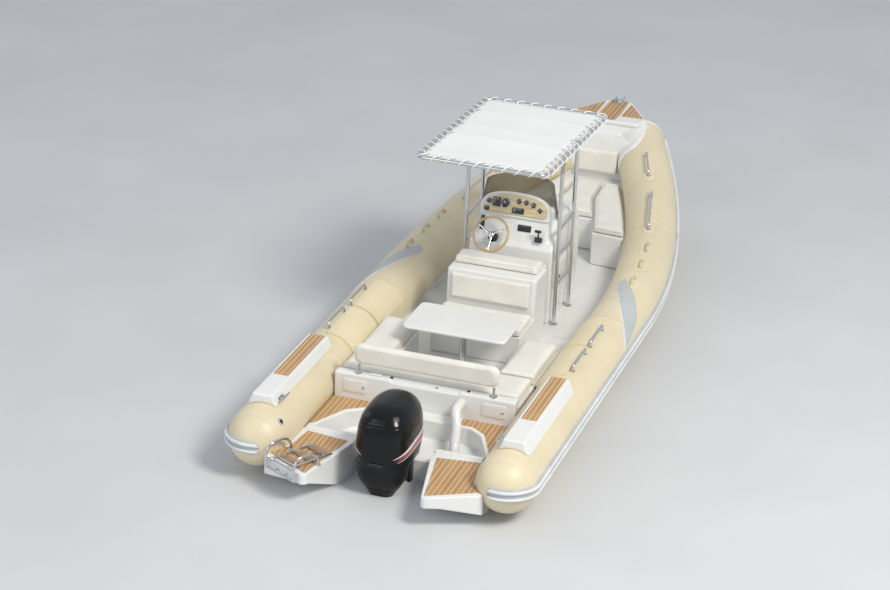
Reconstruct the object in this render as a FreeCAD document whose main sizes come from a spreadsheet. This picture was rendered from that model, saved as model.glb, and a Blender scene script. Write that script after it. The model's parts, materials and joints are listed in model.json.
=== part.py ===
# Rigid inflatable boat, afloat, with a deep-V hull, two air tubes, a centre console under a
# canopy, a dinette aft of it, cushions in the bow and one large outboard engine.
# Units are millimetres. +X is forward, +Y is port and +Z is up. The origin is on the
# centreline at the waterline, in the plane of the transom's outer face.
import FreeCAD, Part
import math
import os
import re
import Sketcher

os.makedirs("parts", exist_ok=True)
doc = FreeCAD.newDocument("rib_boat")
sheet = doc.addObject("Spreadsheet::Sheet", "sizes")
Vector = FreeCAD.Vector
Rotation = FreeCAD.Rotation
Placement = FreeCAD.Placement

SIZES = {
    # air tubes: a straight run, then one arc in an inclined plane that climbs inboard
    "tube_radius": 270, "tube_half": 1140, "tube_height": 360, "tube_stern": -400,
    "bend_start": 3300, "bend_radius": 7200, "bend_angle": 30, "bend_tilt": 32,
    "seat_gap": 0.3,
    # rubbing strake on the outside of a tube, with two ridges
    "strake_half": 60, "strake_base": 14, "ridge_out": 34, "ridge_half": 14, "ridge_pitch": 32,
    "strake_wrap": 112,
    # hull, sole and stern deck
    "stem_half": 60, "stem_top": 985, "hull_top": 180, "sole_top": 200, "liner_inset": 235, "pocket_end": 6450, "rail_inset": 60,
    "rail_drop": 20, "keel_flat": 20, "deck_top": 313, "stern_half": 866, "bench_aft": 722,
    "well_floor": 130, "well_wall": 10, "transom_top": 190, "well_aft": 60, "well_front": 555, "well_aft_half": 815,
    "well_mid": 450, "well_mid_half": 630, "well_front_half": 490, "well_corner": 70,
    "notch_half": 345, "teak_thick": 4, "teak_margin": 28, "teak_inner": 390,
    # swim platforms each side of the engine
    "platform_aft": 905, "platform_aft_half": 528, "platform_side": 640,
    "platform_side_half": 1003, "platform_fore_half": 360, "platform_edge": 90,
    "platform_root": 480, "platform_corner": 45,
    # step pads on the tubes
    "step_aft": -310, "step_front": 1085, "step_top": 711, "step_half": 95, "step_skirt": 150,
    "step_teak_aft": 132, "step_teak_front": 1060, "step_teak_half": 68,
    # bow: moulding, deck, locker and cushions
    "nose_aft": 6450, "nose_step": 1000, "nose_step_front": 6640, "nose_top": 1110,
    "nose_tip": 7262, "nose_aft_half": 470, "nose_tip_half": 95, "deck_thick": 40,
    "bow_deck_aft": 6640, "bow_deck_wide": 6800, "bow_deck_half": 420, "bow_deck_tip": 7316,
    "bow_deck_tip_half": 124, "roller_notch": 70, "roller_notch_half": 45,
    "locker_aft": 4870, "locker_step": 5270, "locker_step_half": 280, "locker_inner_half": 385,
    "locker_top": 550, "locker_front": 6440, "pad_thick": 70, "pad_gap": 12, "bow_pad_front": 6200,
    "bow_rest_thick": 70, "bow_rest_top": 900,
    # dinette: U-shaped bench, table and backrest
    "bench_half": 858, "bench_front": 1300, "bench_leg_front": 2100, "bench_leg_inner": 510,
    "bench_top": 460, "shelf_top": 553, "shelf_front": 830, "cushion_thick": 95,
    "shelf_dip": 22, "shelf_dip_half": 330,
    "rest_half": 700, "rest_aft": 728, "rest_thick": 75, "rest_low": 640, "rest_top": 862,
    "post_radius": 14, "post_half": 640, "flange_radius": 34, "flange_thick": 8,
    "table_aft": 1500, "table_front": 2100, "table_half": 500, "table_top": 752,
    "table_thick": 28, "table_corner": 60, "pedestal_radius": 38, "pedestal_foot": 120,
    # helm seat with the forward bench on its aft side
    "bench_fore_aft": 2220, "helm_aft": 2660, "helm_front": 3030, "helm_half": 445,
    "helm_top": 900, "fore_bench_top": 490, "fore_cushion_thick": 80, "helm_pad_aft": 2780,
    "helm_pad_thick": 70, "back_pad_low": 600, "back_pad_top": 870, "back_pad_thick": 30,
    "back_pad_half": 400, "moulding_round": 30, "cushion_round": 22,
    # console, dash and windscreen
    "console_aft": 3260, "console_half": 420, "console_front": 4290, "console_knee": 960,
    "dash_low": 1010, "dash_top": 1350, "dash_back": 3430, "pod_front": 3640,
    "console_cowl": 1180, "console_slope_front": 4080, "console_nose": 940,
    "dash_thick": 12, "dash_margin": 40, "console_round": 60,
    "screen_centre": 3440, "screen_low_radius": 418, "screen_top_radius": 350,
    "screen_wall": 8, "screen_low": 1150, "screen_top": 1530, "screen_ends": 70,
    # steering wheel and throttle
    "wheel_x": 3145, "wheel_side": 170, "wheel_height": 1100, "wheel_radius": 172,
    "wheel_rim": 13, "wheel_tilt": 36, "wheel_hub": 30, "spoke_radius": 6, "column_gap": 0.3,
    "throttle_side": -180,
    # canopy and its frame
    "canopy_aft": 2137, "canopy_front": 4260, "canopy_half": 626, "canopy_aft_height": 2175,
    "canopy_front_height": 2060, "canopy_corner": 85, "frame_tube": 19, "leg_half": 470,
    "leg_aft": 3290, "leg_front": 3790, "canopy_inset": 46, "canopy_thick": 10,
    # outboard engine
    "cowl_wall": 12, "pan_top": 324.7, "pan_front": 50, "pan_aft": -520, "pan_half": 240,
    "pan_thick": 28, "tilt_x": -10, "tilt_z": 255, "tilt_pin": 18, "tilt_barrel": 34,
    "pin_gap": 0.3, "steer_x": -150, "king_pin": 20, "king_tube": 44, "king_top": 286,
    "king_low": -300, "yoke_thick": 42, "leg_front_x": -205, "leg_low": -440,
    "plate_height": -455, "plate_thick": 12, "plate_half": 120, "shaft_z": -680,
    "gear_radius": 62, "gear_front": -110, "gear_aft": -500, "skeg_low": -900,
    "skeg_thick": 16, "prop_radius": 195, "prop_hub": 52, "prop_front": -506,
    "prop_length": 118, "prop_gap": 0.3, "blade_root": 9, "blade_tip": 4,
    "clamp_out": 165, "clamp_plate": 26, "clamp_low": -110,
    "power_front": 60, "power_aft": -400, "power_half": 150, "power_high": 380,
    # boarding ladder on the port platform, folded inboard over its aft edge
    "ladder_half": 120, "arch_half": 185, "arch_tube": 12, "stringer": 11, "ladder_rod": 8,
    "ladder_eye": 17, "ladder_length": 480, "ladder_lift": 24, "ladder_out": 34,
    "arch_rise": 135, "arch_foot": 240, "arch_drop": 73, "tread_width": 70, "tread_thick": 16,
    # rails, handles, bolsters and deck fittings
    "rail_rod": 12.5, "rail_stand": 60, "rail_bend": 30, "handle_rod": 8, "handle_stand": 42,
    "handle_bend": 18, "foot_radius": 24, "foot_thick": 5, "bolster_thick": 22,
    "hose_radius": 45, "hose_bend": 110, "eye_bore": 13, "eye_outer": 32, "eye_thick": 16,
    "bow_eye_height": 560, "transom_eye_half": 300, "transom_eye_height": -220,
    "cleat_length": 190, "cleat_stand": 44, "roller_radius": 26,
}

# hull sections from the transom to the stem: place along the hull, keel height, chine's half
# width and height. A section's rail follows the tube's centre line.
STATION_COLUMNS = ("place", "keel", "chine_half", "chine_height")
STATIONS = (
    (0, -450, 930, -80),
    (1600, -450, 942, -74),
    (3300, -448, 936, -44),
    (4000, -432, 905, -8),
    (4600, -400, 846, 50),
    (5200, -332, 752, 134),
    (5600, -262, 660, 210),
    (6000, -148, 540, 306),
    (6300, -12, 428, 400),
    (6600, 165, 300, 515),
    (6850, 352, 190, 636),
    (7050, 560, 110, 765),
    (7225, 800, 44, 905),
)
for index, row in enumerate(STATIONS):
    for column, number in zip(STATION_COLUMNS, row):
        SIZES["hull_%s_%d" % (column, index)] = number

# engine cowl sections: height, front and aft reach, half width, corner radius
COWL_COLUMNS = ("height", "front", "aft", "half", "round")
COWL = (
    (325, 90, -530, 246, 165),
    (470, 160, -540, 254, 170),
    (640, 172, -524, 243, 170),
    (780, 138, -474, 205, 150),
    (860, 20, -340, 105, 90),
)
for index, row in enumerate(COWL):
    for column, number in zip(COWL_COLUMNS, row):
        SIZES["cowl_%s_%d" % (column, index)] = number

for row, (word, number) in enumerate(SIZES.items(), start=1):
    sheet.set("A%d" % row, word)
    sheet.set("B%d" % row, str(number))
    sheet.setAlias("B%d" % row, word)
doc.recompute()

MATHS = ("sin", "cos", "tan", "asin", "sqrt", "deg", "max", "min")
SIDES = (("port", 1), ("stbd", -1))
kept = []


def formula(text):
    """Write a formula of size names as one of sheet cells."""
    def cell(word):
        return word.group() if word.group() in MATHS else "sizes." + word.group()
    return re.sub(r"[a-z]\w*", cell, str(text))


def size(text):
    """The number that a formula of sizes gives."""
    return float(sheet.evalExpression(formula(text)))


def bind(item, place, text):
    item.setExpression(place, formula(text))


def keep(item, label):
    """Mark a finished piece as one that is written out."""
    item.Label = label
    kept.append(item)
    return item


def body(label):
    item = doc.addObject("PartDesign::Body", label)
    item.Label = label
    return item


def sketch(solid, plane, height="0"):
    """An empty sketch on one of the body's planes, lifted along the plane's normal."""
    drawing = solid.newObject("Sketcher::SketchObject", solid.Name + "_sketch")
    support = [side for side in solid.Origin.OriginFeatures if side.Role == plane][0]
    drawing.AttachmentSupport = [(support, "")]
    drawing.MapMode = "FlatFace"
    drawing.AttachmentOffset = Placement(Vector(0, 0, size(height)), Rotation())
    bind(drawing, "AttachmentOffset.Base.z", height)
    return drawing


def dimension(drawing, kind, place, text):
    index = drawing.addConstraint(Sketcher.Constraint(kind, *place, size(text)))
    bind(drawing, "Constraints[%d]" % index, text)


def outline(drawing, corners):
    """Straight edges through corners, each given by two formulas."""
    points = [Vector(size(across), size(along), 0) for across, along in corners]
    count = len(points)
    for index in range(count):
        drawing.addGeometry(Part.LineSegment(points[index], points[(index + 1) % count]), False)
    for index in range(count):
        drawing.addConstraint(Sketcher.Constraint("Coincident", index, 2, (index + 1) % count, 1))
    for index, (across, along) in enumerate(corners):
        dimension(drawing, "DistanceX", (-1, 1, index, 1), across)
        dimension(drawing, "DistanceY", (-1, 1, index, 1), along)
    return drawing


def pad(solid, drawing, length, middle=False):
    feature = solid.newObject("PartDesign::Pad", solid.Name + "_pad")
    feature.Profile = drawing
    feature.Midplane = middle
    bind(feature, "Length", length)
    doc.recompute()
    return feature


def pocket(solid, drawing, depth, upward=False):
    before = solid.Shape.Volume
    feature = solid.newObject("PartDesign::Pocket", solid.Name + "_pocket")
    feature.Profile = drawing
    feature.Reversed = upward
    bind(feature, "Length", depth)
    doc.recompute()
    if solid.Shape.Volume > before - 1:
        raise ValueError("a pocket cuts nothing in " + solid.Label)
    return feature


def ease(solid, radius, wanted):
    """Fillet the edges of the body's tip that the test picks."""
    base = solid.Tip
    names = ["Edge%d" % number for number, edge in enumerate(base.Shape.Edges, start=1) if wanted(edge)]
    feature = solid.newObject("PartDesign::Fillet", solid.Name + "_fillet")
    feature.Base = (base, names)
    bind(feature, "Radius", radius)
    doc.recompute()
    return feature


def upright(edge):
    """A straight edge that runs along Z."""
    box = edge.BoundBox
    return box.ZLength > 1 and box.XLength < 0.01 and box.YLength < 0.01


def at_height(text):
    """Test for edges that lie level at a height."""
    level = size(text)
    return lambda edge: abs(edge.BoundBox.ZMin - level) < 0.01 and abs(edge.BoundBox.ZMax - level) < 0.01


def slab(label, corners, low, thick, corner=None, lip=None):
    """A plate of a plan outline, with its upright edges and its upper lip rounded."""
    solid = body(label)
    pad(solid, outline(sketch(solid, "XY_Plane", low), corners), thick)
    if corner:
        ease(solid, corner, upright)
    if lip:
        ease(solid, lip, at_height("%s + %s" % (low, thick)))
    return solid


def profile(label, corners, half, middle="0"):
    """A side outline of x and z, as thick as two half widths about a middle plane."""
    solid = body(label)
    drawing = sketch(solid, "XZ_Plane", "-(%s)" % middle)
    pad(solid, outline(drawing, corners), "2 * (%s)" % half, middle=True)
    return solid


def rectangle(aft, front, low, high):
    return [(aft, low), (front, low), (front, high), (aft, high)]


def both_sides(corners):
    """A plan outline from its port half, given from aft to front."""
    return corners + [(along, "-(%s)" % across) for along, across in reversed(corners)]


def boolean(kind, label, base, tool):
    item = doc.addObject("Part::" + kind, label)
    item.Base = base
    item.Tool = tool
    doc.recompute()
    return item


def group(label, pieces):
    """Several like pieces written out as one."""
    item = doc.addObject("Part::Compound", label)
    item.Links = pieces
    doc.recompute()
    return keep(item, label)


def cut_by(label, base, tools):
    item = base
    for number, tool in enumerate(tools):
        item = boolean("Cut", "%s_cut_%d" % (label, number), item, tool)
    return item


def cut_all(label, base, tools):
    return keep(cut_by(label, base, tools), label)


def solid_feature(label, shape):
    """A piece whose shape comes from Part's own functions."""
    item = doc.addObject("Part::Feature", label)
    item.Shape = shape
    return keep(item, label)


def drop(place):
    """How far the bend has left the straight line of the tube, in its own plane."""
    reach = "max(%s - bend_start; 0)" % place
    return "(bend_radius - sqrt(bend_radius^2 - %s^2))" % reach


def tube_across(place):
    return "(tube_half - %s * cos(bend_tilt * 1deg))" % drop(place)


def tube_level(place):
    return "(tube_height + %s * sin(bend_tilt * 1deg))" % drop(place)


def centre_point(along, side):
    """Centre of a tube at a place along the boat, and its direction there."""
    reach = max(0.0, along - size("bend_start"))
    turn = math.asin(reach / size("bend_radius"))
    tilt = math.radians(size("bend_tilt"))
    leave = size("bend_radius") * (1 - math.cos(turn))
    centre = Vector(along, side * (size("tube_half") - leave * math.cos(tilt)),
                    size("tube_height") + leave * math.sin(tilt))
    heading = Vector(math.cos(turn), -side * math.sin(turn) * math.cos(tilt), math.sin(turn) * math.sin(tilt))
    return centre, heading


def on_tube(along, side, angle, out):
    """A point that stands out from the tube's skin. Angle 0 is outboard and 90 is up."""
    centre, heading = centre_point(along, side)
    outboard = (heading.cross(Vector(0, 0, 1)) * -side).normalize()
    up = (outboard.cross(heading) * -side).normalize()
    turn = math.radians(angle)
    return centre + (outboard * math.cos(turn) + up * math.sin(turn)) * (size("tube_radius") + out)


def rounded_path(points, bend, closed=False):
    """A wire of straight runs joined by tangent arcs of one radius."""
    edges = []
    count = len(points)
    corners = range(count) if closed else range(1, count - 1)
    start = None if closed else points[0]
    first = None
    for index in corners:
        before, corner, after = points[index - 1], points[index], points[(index + 1) % count]
        inward = (before - corner).normalize()
        onward = (after - corner).normalize()
        half_angle = inward.getAngle(onward) / 2
        if abs(half_angle - math.pi / 2) < 1e-4:
            continue
        back = bend / math.tan(half_angle)
        entry, leave = corner + inward * back, corner + onward * back
        middle_way = (inward + onward).normalize()
        crown = corner + middle_way * (bend / math.sin(half_angle) - bend)
        if start is not None:
            edges.append(Part.LineSegment(start, entry).toShape())
        else:
            first = entry
        edges.append(Part.Arc(entry, crown, leave).toShape())
        start = leave
    edges.append(Part.LineSegment(start, first if closed else points[-1]).toShape())
    return Part.Wire(Part.__sortEdges__(edges))


def rod(path, radius):
    """A round bar along a wire."""
    edge = path.Edges[0]
    start = edge.valueAt(edge.FirstParameter)
    heading = edge.tangentAt(edge.FirstParameter)
    ring = Part.Wire([Part.makeCircle(radius, start, heading)])
    return path.makePipeShell([ring], True, False)


def bar(start, end, radius):
    return Part.makeCylinder(radius, (end - start).Length, start, end - start)


def fuse(shapes):
    return shapes[0].multiFuse(shapes[1:]).removeSplitter()


def along_tube(solid, side, draw):
    """Carry a cross section along a tube: a straight pad, then a turn about the bend's axis.

    draw() fills a sketch whose origin is the tube's centre. The bend's axis is a construction
    line, square to the inclined plane that the bend lies in.
    """
    middle = Placement(Vector(side * size("tube_half"), size("tube_height"), 0), Rotation())
    run = sketch(solid, "YZ_Plane")
    turn = sketch(solid, "YZ_Plane")
    for section, place in ((run, "tube_stern"), (turn, "bend_start")):
        section.AttachmentOffset = middle
        bind(section, "AttachmentOffset.Base.x", "%d * tube_half" % side)
        bind(section, "AttachmentOffset.Base.y", "tube_height")
        bind(section, "AttachmentOffset.Base.z", place)
        draw(section)
    foot = ("-(%d) * bend_radius * cos(bend_tilt * 1deg)" % side, "bend_radius * sin(bend_tilt * 1deg)")
    head = (foot[0] + " + %d * 500 * sin(bend_tilt * 1deg)" % side, foot[1] + " + 500 * cos(bend_tilt * 1deg)")
    ends = [Vector(size(across), size(level), 0) for across, level in (foot, head)]
    axis = turn.addGeometry(Part.LineSegment(*ends), True)
    for end, (across, level) in ((1, foot), (2, head)):
        dimension(turn, "DistanceX", (-1, 1, axis, end), across)
        dimension(turn, "DistanceY", (-1, 1, axis, end), level)
    doc.recompute()
    pad(solid, run, "bend_start - tube_stern")
    bend = solid.newObject("PartDesign::Revolution", solid.Name + "_bend")
    bend.Profile = turn
    bend.ReferenceAxis = (turn, ["Axis0"])
    bend.Reversed = side > 0
    bind(bend, "Angle", "bend_angle")
    doc.recompute()
    return run


def air_tube(label, side, grow="0"):
    """An air tube: a straight run, a bend that climbs inboard, and a domed stern."""
    solid = body(label)

    def ring(section):
        section.addGeometry(Part.Circle(Vector(), Vector(0, 0, 1), size("tube_radius")), False)
        section.addConstraint(Sketcher.Constraint("Coincident", 0, 3, -1, 1))
        dimension(section, "Radius", (0,), "tube_radius + " + grow)
    along_tube(solid, side, ring)
    dome = solid.newObject("PartDesign::AdditiveSphere", solid.Name + "_dome")
    bind(dome, "Radius", "tube_radius + " + grow)
    dome.Placement = Placement(Vector(size("tube_stern"), side * size("tube_half"), size("tube_height")), Rotation())
    doc.recompute()
    return solid


tubes = {}
seats = {}
for word, side in SIDES:
    tubes[word] = keep(air_tube("tube_" + word, side), "tube_" + word)
    seats[word] = air_tube("tube_seat_" + word, side, "seat_gap")

STRAKE_SECTION = (
    ("tube_radius - 10", "-strake_half"), ("tube_radius + strake_base", "-strake_half"),
    ("tube_radius + ridge_out", "-ridge_pitch - ridge_half"),
    ("tube_radius + ridge_out", "-ridge_pitch + ridge_half"),
    ("tube_radius + strake_base", "-8"), ("tube_radius + strake_base", "8"),
    ("tube_radius + ridge_out", "ridge_pitch - ridge_half"),
    ("tube_radius + ridge_out", "ridge_pitch + ridge_half"),
    ("tube_radius + strake_base", "strake_half"), ("tube_radius - 10", "strake_half"),
)


def strake(word, side):
    """Two-ridged rubbing strake along a tube and round its stern dome."""
    solid = body("strake_body_" + word)
    run = along_tube(solid, side, lambda section: outline(
        section, [("%d * (%s)" % (side, out), height) for out, height in STRAKE_SECTION]))
    wrap = solid.newObject("PartDesign::Revolution", solid.Name + "_wrap")
    wrap.Profile = run
    wrap.ReferenceAxis = (run, ["V_Axis"])
    wrap.Reversed = side < 0
    bind(wrap, "Angle", "strake_wrap")
    doc.recompute()
    return cut_by("strake_" + word, solid, [seats[word]])


group("rubbing_strakes", [strake(word, side) for word, side in SIDES])

# hull: one loft from the transom to the stem, with the cockpit pocketed into its top and the
# tubes lying in it
hull_body = body("hull_body")
hull_sections = []
for index in range(len(STATIONS)):
    def at(column):
        return "hull_%s_%d" % (column, index)
    rail = (tube_across(at("place")) + " - rail_inset", tube_level(at("place")) + " - rail_drop")
    if index == len(STATIONS) - 1:
        rail = ("stem_half", "stem_top")
    section = sketch(hull_body, "YZ_Plane", at("place"))
    port = [("keel_flat", at("keel")), (at("chine_half"), at("chine_height")), rail]
    stbd = [("-(%s)" % across, level) for across, level in reversed(port)]
    hull_sections.append(outline(section, port + stbd))
doc.recompute()
hull_loft = hull_body.newObject("PartDesign::AdditiveLoft", "hull_loft")
hull_loft.Profile = hull_sections[0]
hull_loft.Sections = [(section, [""]) for section in hull_sections[1:]]
hull_loft.Ruled = True
doc.recompute()


def liner(place):
    return tube_across(place) + " - liner_inset"


COCKPIT = [(place, liner(place)) for place in
           ("bend_start", "bend_start + 900", "bend_start + 1700", "bend_start + 2400",
            "bend_start + 2900", "pocket_end")]
well = [("well_aft", "well_aft_half"), ("well_mid", "well_mid_half"), ("well_front", "well_front_half")]
tub = [("well_aft + 1", "well_aft_half"), ("well_mid + well_wall", "well_mid_half + well_wall"),
       ("well_front + well_wall", "well_front_half + well_wall")]
cockpit = outline(sketch(hull_body, "XY_Plane", "hull_top"), both_sides([("-50", liner("0"))] + COCKPIT))
pocket(hull_body, cockpit, "2 * tube_half", upward=True)
pocket(hull_body, outline(sketch(hull_body, "XY_Plane", "hull_top"), both_sides(tub)),
       "hull_top - well_floor + well_wall")
hull = cut_all("hull", hull_body, [seats["port"], seats["stbd"]])

# cockpit sole and the white stern deck with its splash well
sole_outline = both_sides([("bench_aft", liner("0") + " - 1")]
                          + [(place, across + " - 1") for place, across in COCKPIT[:-1]]
                          + [("locker_front", liner("locker_front") + " - 1")])
keep(slab("cockpit_sole", sole_outline, "hull_top", "sole_top - hull_top"), "cockpit_sole")

stern = slab("stern_deck", rectangle("0", "bench_aft", "-stern_half", "stern_half"),
             "hull_top", "deck_top - hull_top")
pad(stern, outline(sketch(stern, "XY_Plane", "well_floor - well_wall"), both_sides(tub)),
    "hull_top - well_floor + well_wall")
pocket(stern, outline(sketch(stern, "XY_Plane", "deck_top"), both_sides(well)), "deck_top - well_floor")
ease(stern, "well_corner", lambda edge: upright(edge) and edge.BoundBox.XMin > size("well_aft") + 1
     and edge.BoundBox.XMax < size("bench_aft") - 1)
pocket(stern, outline(sketch(stern, "XY_Plane", "deck_top"),
                      rectangle("-20", "well_aft + 5", "-notch_half", "notch_half")),
       "deck_top - transom_top")
keep(stern, "stern_deck")

deck_teak = []
for word, side in SIDES:
    deck_teak.append(slab("stern_teak_" + word, [
        ("well_aft + 40", "%d * (stern_half - 6)" % side), ("bench_aft - 12", "%d * (stern_half - 6)" % side),
        ("bench_aft - 12", "%d * teak_inner" % side), ("well_front + teak_margin", "%d * teak_inner" % side),
        ("well_front + teak_margin", "%d * (well_front_half + teak_margin)" % side),
        ("well_mid + teak_margin", "%d * (well_mid_half + teak_margin)" % side),
        ("well_aft + 40", "%d * (well_aft_half + 0.4 * teak_margin)" % side)], "deck_top", "teak_thick"))

# swim platforms: plan outline and side outline in common, cut to the tube's dome
for word, side in SIDES:
    name = "platform_" + word
    plan = slab(name + "_plan", [(along, "%d * (%s)" % (side, across)) for along, across in (
        ("-0.3", "platform_fore_half"), ("-0.3", "tube_half - 180"), ("tube_stern", "tube_half - 180"),
        ("-platform_side", "platform_side_half"), ("-platform_aft", "platform_aft_half"),
        ("-140", "platform_fore_half"))], "-tube_radius", "tube_radius + deck_top")
    ease(plan, "platform_corner", lambda edge: upright(edge) and edge.BoundBox.XMax < -size("platform_side") + 1)
    sidewall = profile(name + "_side", [
        ("0", "deck_top"), ("-platform_aft - 20", "deck_top"), ("-platform_aft - 20", "deck_top - platform_edge"),
        ("-platform_aft + 90", "deck_top - platform_edge - 20"), ("0", "deck_top - platform_root")], "2 * tube_half")
    both = boolean("Common", name + "_block", plan, sidewall)
    cut_all("swim_" + name, both, [seats[word]])
    deck_teak.append(slab(name + "_teak", [(along, "%d * (%s)" % (side, across)) for along, across in (
        ("-66", "tube_half - 335"), ("-435", "tube_half - 290"), ("-602", "platform_side_half - 55"),
        ("-platform_aft + 65", "platform_aft_half + 14"), ("-121", "platform_fore_half + 55"))],
        "deck_top", "teak_thick"))
group("deck_teak", deck_teak)

# step pads: saddles on the tubes with a teak tread
step_pads, step_teak = [], []
for word, side in SIDES:
    saddle = body("step_body_" + word)
    section = sketch(saddle, "YZ_Plane", "step_aft")
    middle = "%d * (tube_half + 12)" % side
    outline(section, [("%s - step_half" % middle, "step_top"), ("%s + step_half" % middle, "step_top"),
                      ("%s + step_skirt" % middle, "tube_height + 0.78 * tube_radius"),
                      ("%s - step_skirt" % middle, "tube_height + 0.78 * tube_radius")])
    pad(saddle, section, "step_front - step_aft")
    ease(saddle, "20", lambda edge: edge.BoundBox.ZLength > 30)
    ease(saddle, "12", at_height("step_top"))
    step_pads.append(cut_by("step_pad_" + word, saddle, [seats[word]]))
    step_teak.append(slab("step_teak_" + word, rectangle("step_teak_aft", "step_teak_front",
                                              "%s - step_teak_half" % middle, "%s + step_teak_half" % middle),
              "step_top", "teak_thick", corner="12"))
group("step_pads", step_pads)
group("step_teak", step_teak)

# bow: white moulding between the tubes, deck with a roller notch, teak on it
nose_plan = slab("nose_plan", both_sides([("nose_aft", "nose_aft_half"), ("bow_deck_wide", "nose_aft_half - 90"),
                                          ("nose_tip", "nose_tip_half")]), "locker_top", "nose_top - locker_top")
nose_side = profile("nose_side", [
    ("nose_aft", "locker_top"), ("nose_aft", "nose_step"), ("nose_step_front", "nose_step"),
    ("nose_step_front + 20", "nose_top"), ("nose_tip", "nose_top"), ("nose_tip", "stem_top - 60"),
    ("bow_deck_wide", "locker_top")], "nose_aft_half")
nose = boolean("Common", "nose_block", nose_plan, nose_side)
cut_all("bow_moulding", nose, [hull, seats["port"], seats["stbd"]])

bow_outline = [("bow_deck_aft", "bow_deck_half - 60"), ("bow_deck_wide", "bow_deck_half"),
               ("bow_deck_tip", "bow_deck_tip_half")]
bow_deck = slab("bow_deck_plate", both_sides(bow_outline), "nose_top", "deck_thick")
pocket(bow_deck, outline(sketch(bow_deck, "XY_Plane", "nose_top + deck_thick"),
                         rectangle("bow_deck_tip - roller_notch", "bow_deck_tip + 20",
                                   "-roller_notch_half", "roller_notch_half")), "deck_thick")
ease(bow_deck, "12", at_height("nose_top + deck_thick"))
cut_all("bow_deck", bow_deck, [seats["port"], seats["stbd"]])

bow_teak = body("bow_teak_middle")
pad(bow_teak, outline(sketch(bow_teak, "XY_Plane", "nose_top + deck_thick"), both_sides([
    ("bow_deck_aft + 24", "100"), ("bow_deck_wide + 60", "112"), ("bow_deck_tip - 30", "bow_deck_tip_half - 24")])),
    "teak_thick")
pocket(bow_teak, outline(sketch(bow_teak, "XY_Plane", "nose_top + deck_thick + teak_thick"),
                         rectangle("bow_deck_tip - roller_notch - 66", "bow_deck_tip + 20",
                                   "-roller_notch_half - 12", "roller_notch_half + 12")), "teak_thick")
bow_boards = [bow_teak]
for word, side in SIDES:
    bow_boards.append(slab("bow_teak_" + word, [(along, "%d * (%s)" % (side, across)) for along, across in (
        ("bow_deck_wide + 14", "138"), ("bow_deck_wide + 22", "bow_deck_half - 40"),
        ("bow_deck_tip - 100", "bow_deck_tip_half + 22"))], "nose_top + deck_thick", "teak_thick"))
group("bow_teak", bow_boards)


def inboard(place, level, gap="pad_gap"):
    """Half width at a level inside the tube's skin, with a gap to it."""
    rise = "(%s - %s)" % (level, tube_level(place))
    slope = "sqrt(1 - (max(%s - bend_start; 0) / bend_radius)^2)" % place
    return "%s - sqrt(max(tube_radius^2 - %s^2; 0)) / %s - %s" % (tube_across(place), rise, slope, gap)


locker_stations = ("locker_aft", "locker_aft + 500", "locker_aft + 1000", "locker_front")
locker = slab("bow_locker_block", both_sides(
    [("locker_step", "locker_step_half"), ("locker_aft + 30", "locker_inner_half")]
    + [(place, liner(place) + " - 1") for place in locker_stations]), "sole_top", "locker_top - sole_top")
cut_all("bow_locker", locker, [seats["port"], seats["stbd"], hull])

pad_stations = ("locker_aft", "locker_aft + 350", "locker_aft + 700", "locker_aft + 1050", "bow_pad_front")
for word, side in SIDES:
    corners = [("locker_aft + 30", "locker_inner_half + 6"), ("locker_step + 460", "locker_step_half - 110"),
               ("bow_pad_front", "locker_step_half - 130")]
    corners += [(place, inboard(place, "(locker_top + 0.5 * pad_thick)", "1.5 * pad_gap"))
                for place in reversed(pad_stations)]
    keep(slab("bow_cushion_" + word, [(along, "%d * (%s)" % (side, across)) for along, across in corners],
              "locker_top + seat_gap", "pad_thick", lip="cushion_round"), "bow_cushion_" + word)
keep(slab("bow_cushion_centre", both_sides([("locker_step - 6", "locker_step_half + 10"),
                                            ("locker_step + 460", "locker_step_half - 110 - pad_gap"),
                                            ("bow_pad_front", "locker_step_half - 130 - pad_gap")]),
          "locker_top + seat_gap", "pad_thick", lip="cushion_round"), "bow_cushion_centre")
cut_all("bow_backrest", profile("bow_backrest_block", rectangle("nose_aft - bow_rest_thick", "nose_aft - seat_gap",
                                       "locker_top + 2 * seat_gap + pad_thick", "bow_rest_top"),
             "0.5 * nose_aft_half"), [seats["port"], seats["stbd"]])

# dinette: a U-shaped white bench with a shelf across its aft end, cushions and a backrest
bench = slab("dinette_bench", both_sides([("bench_aft", "bench_half")]) + [
    ("bench_leg_front", "-bench_half"), ("bench_leg_front", "-bench_leg_inner"),
    ("bench_front", "-bench_leg_inner"), ("bench_front", "bench_leg_inner"),
    ("bench_leg_front", "bench_leg_inner"), ("bench_leg_front", "bench_half")],
    "sole_top", "bench_top - sole_top")
shelf = outline(sketch(bench, "XY_Plane", "bench_top"),
                rectangle("bench_aft", "shelf_front", "-bench_half", "bench_half"))
pad(bench, shelf, "shelf_top - bench_top")
pocket(bench, outline(sketch(bench, "XY_Plane", "shelf_top"),
                      rectangle("bench_aft - 20", "bench_aft + 60", "-shelf_dip_half", "shelf_dip_half")),
       "shelf_dip")
ease(bench, "14", lambda edge: at_height("shelf_top")(edge) and edge.BoundBox.YLength > 300)
keep(bench, "dinette_bench")

cushion_low = "bench_top + seat_gap"
keep(slab("dinette_cushion_aft", rectangle("shelf_front + 4", "bench_front - 4", "-bench_half", "bench_half"),
          cushion_low, "cushion_thick", lip="cushion_round"), "dinette_cushion_aft")
for word, side in SIDES:
    keep(slab("dinette_cushion_" + word,
              rectangle("bench_front + 4", "bench_leg_front", "%d * bench_leg_inner" % side, "%d * bench_half" % side),
              cushion_low, "cushion_thick", lip="cushion_round"), "dinette_cushion_" + word)

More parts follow.
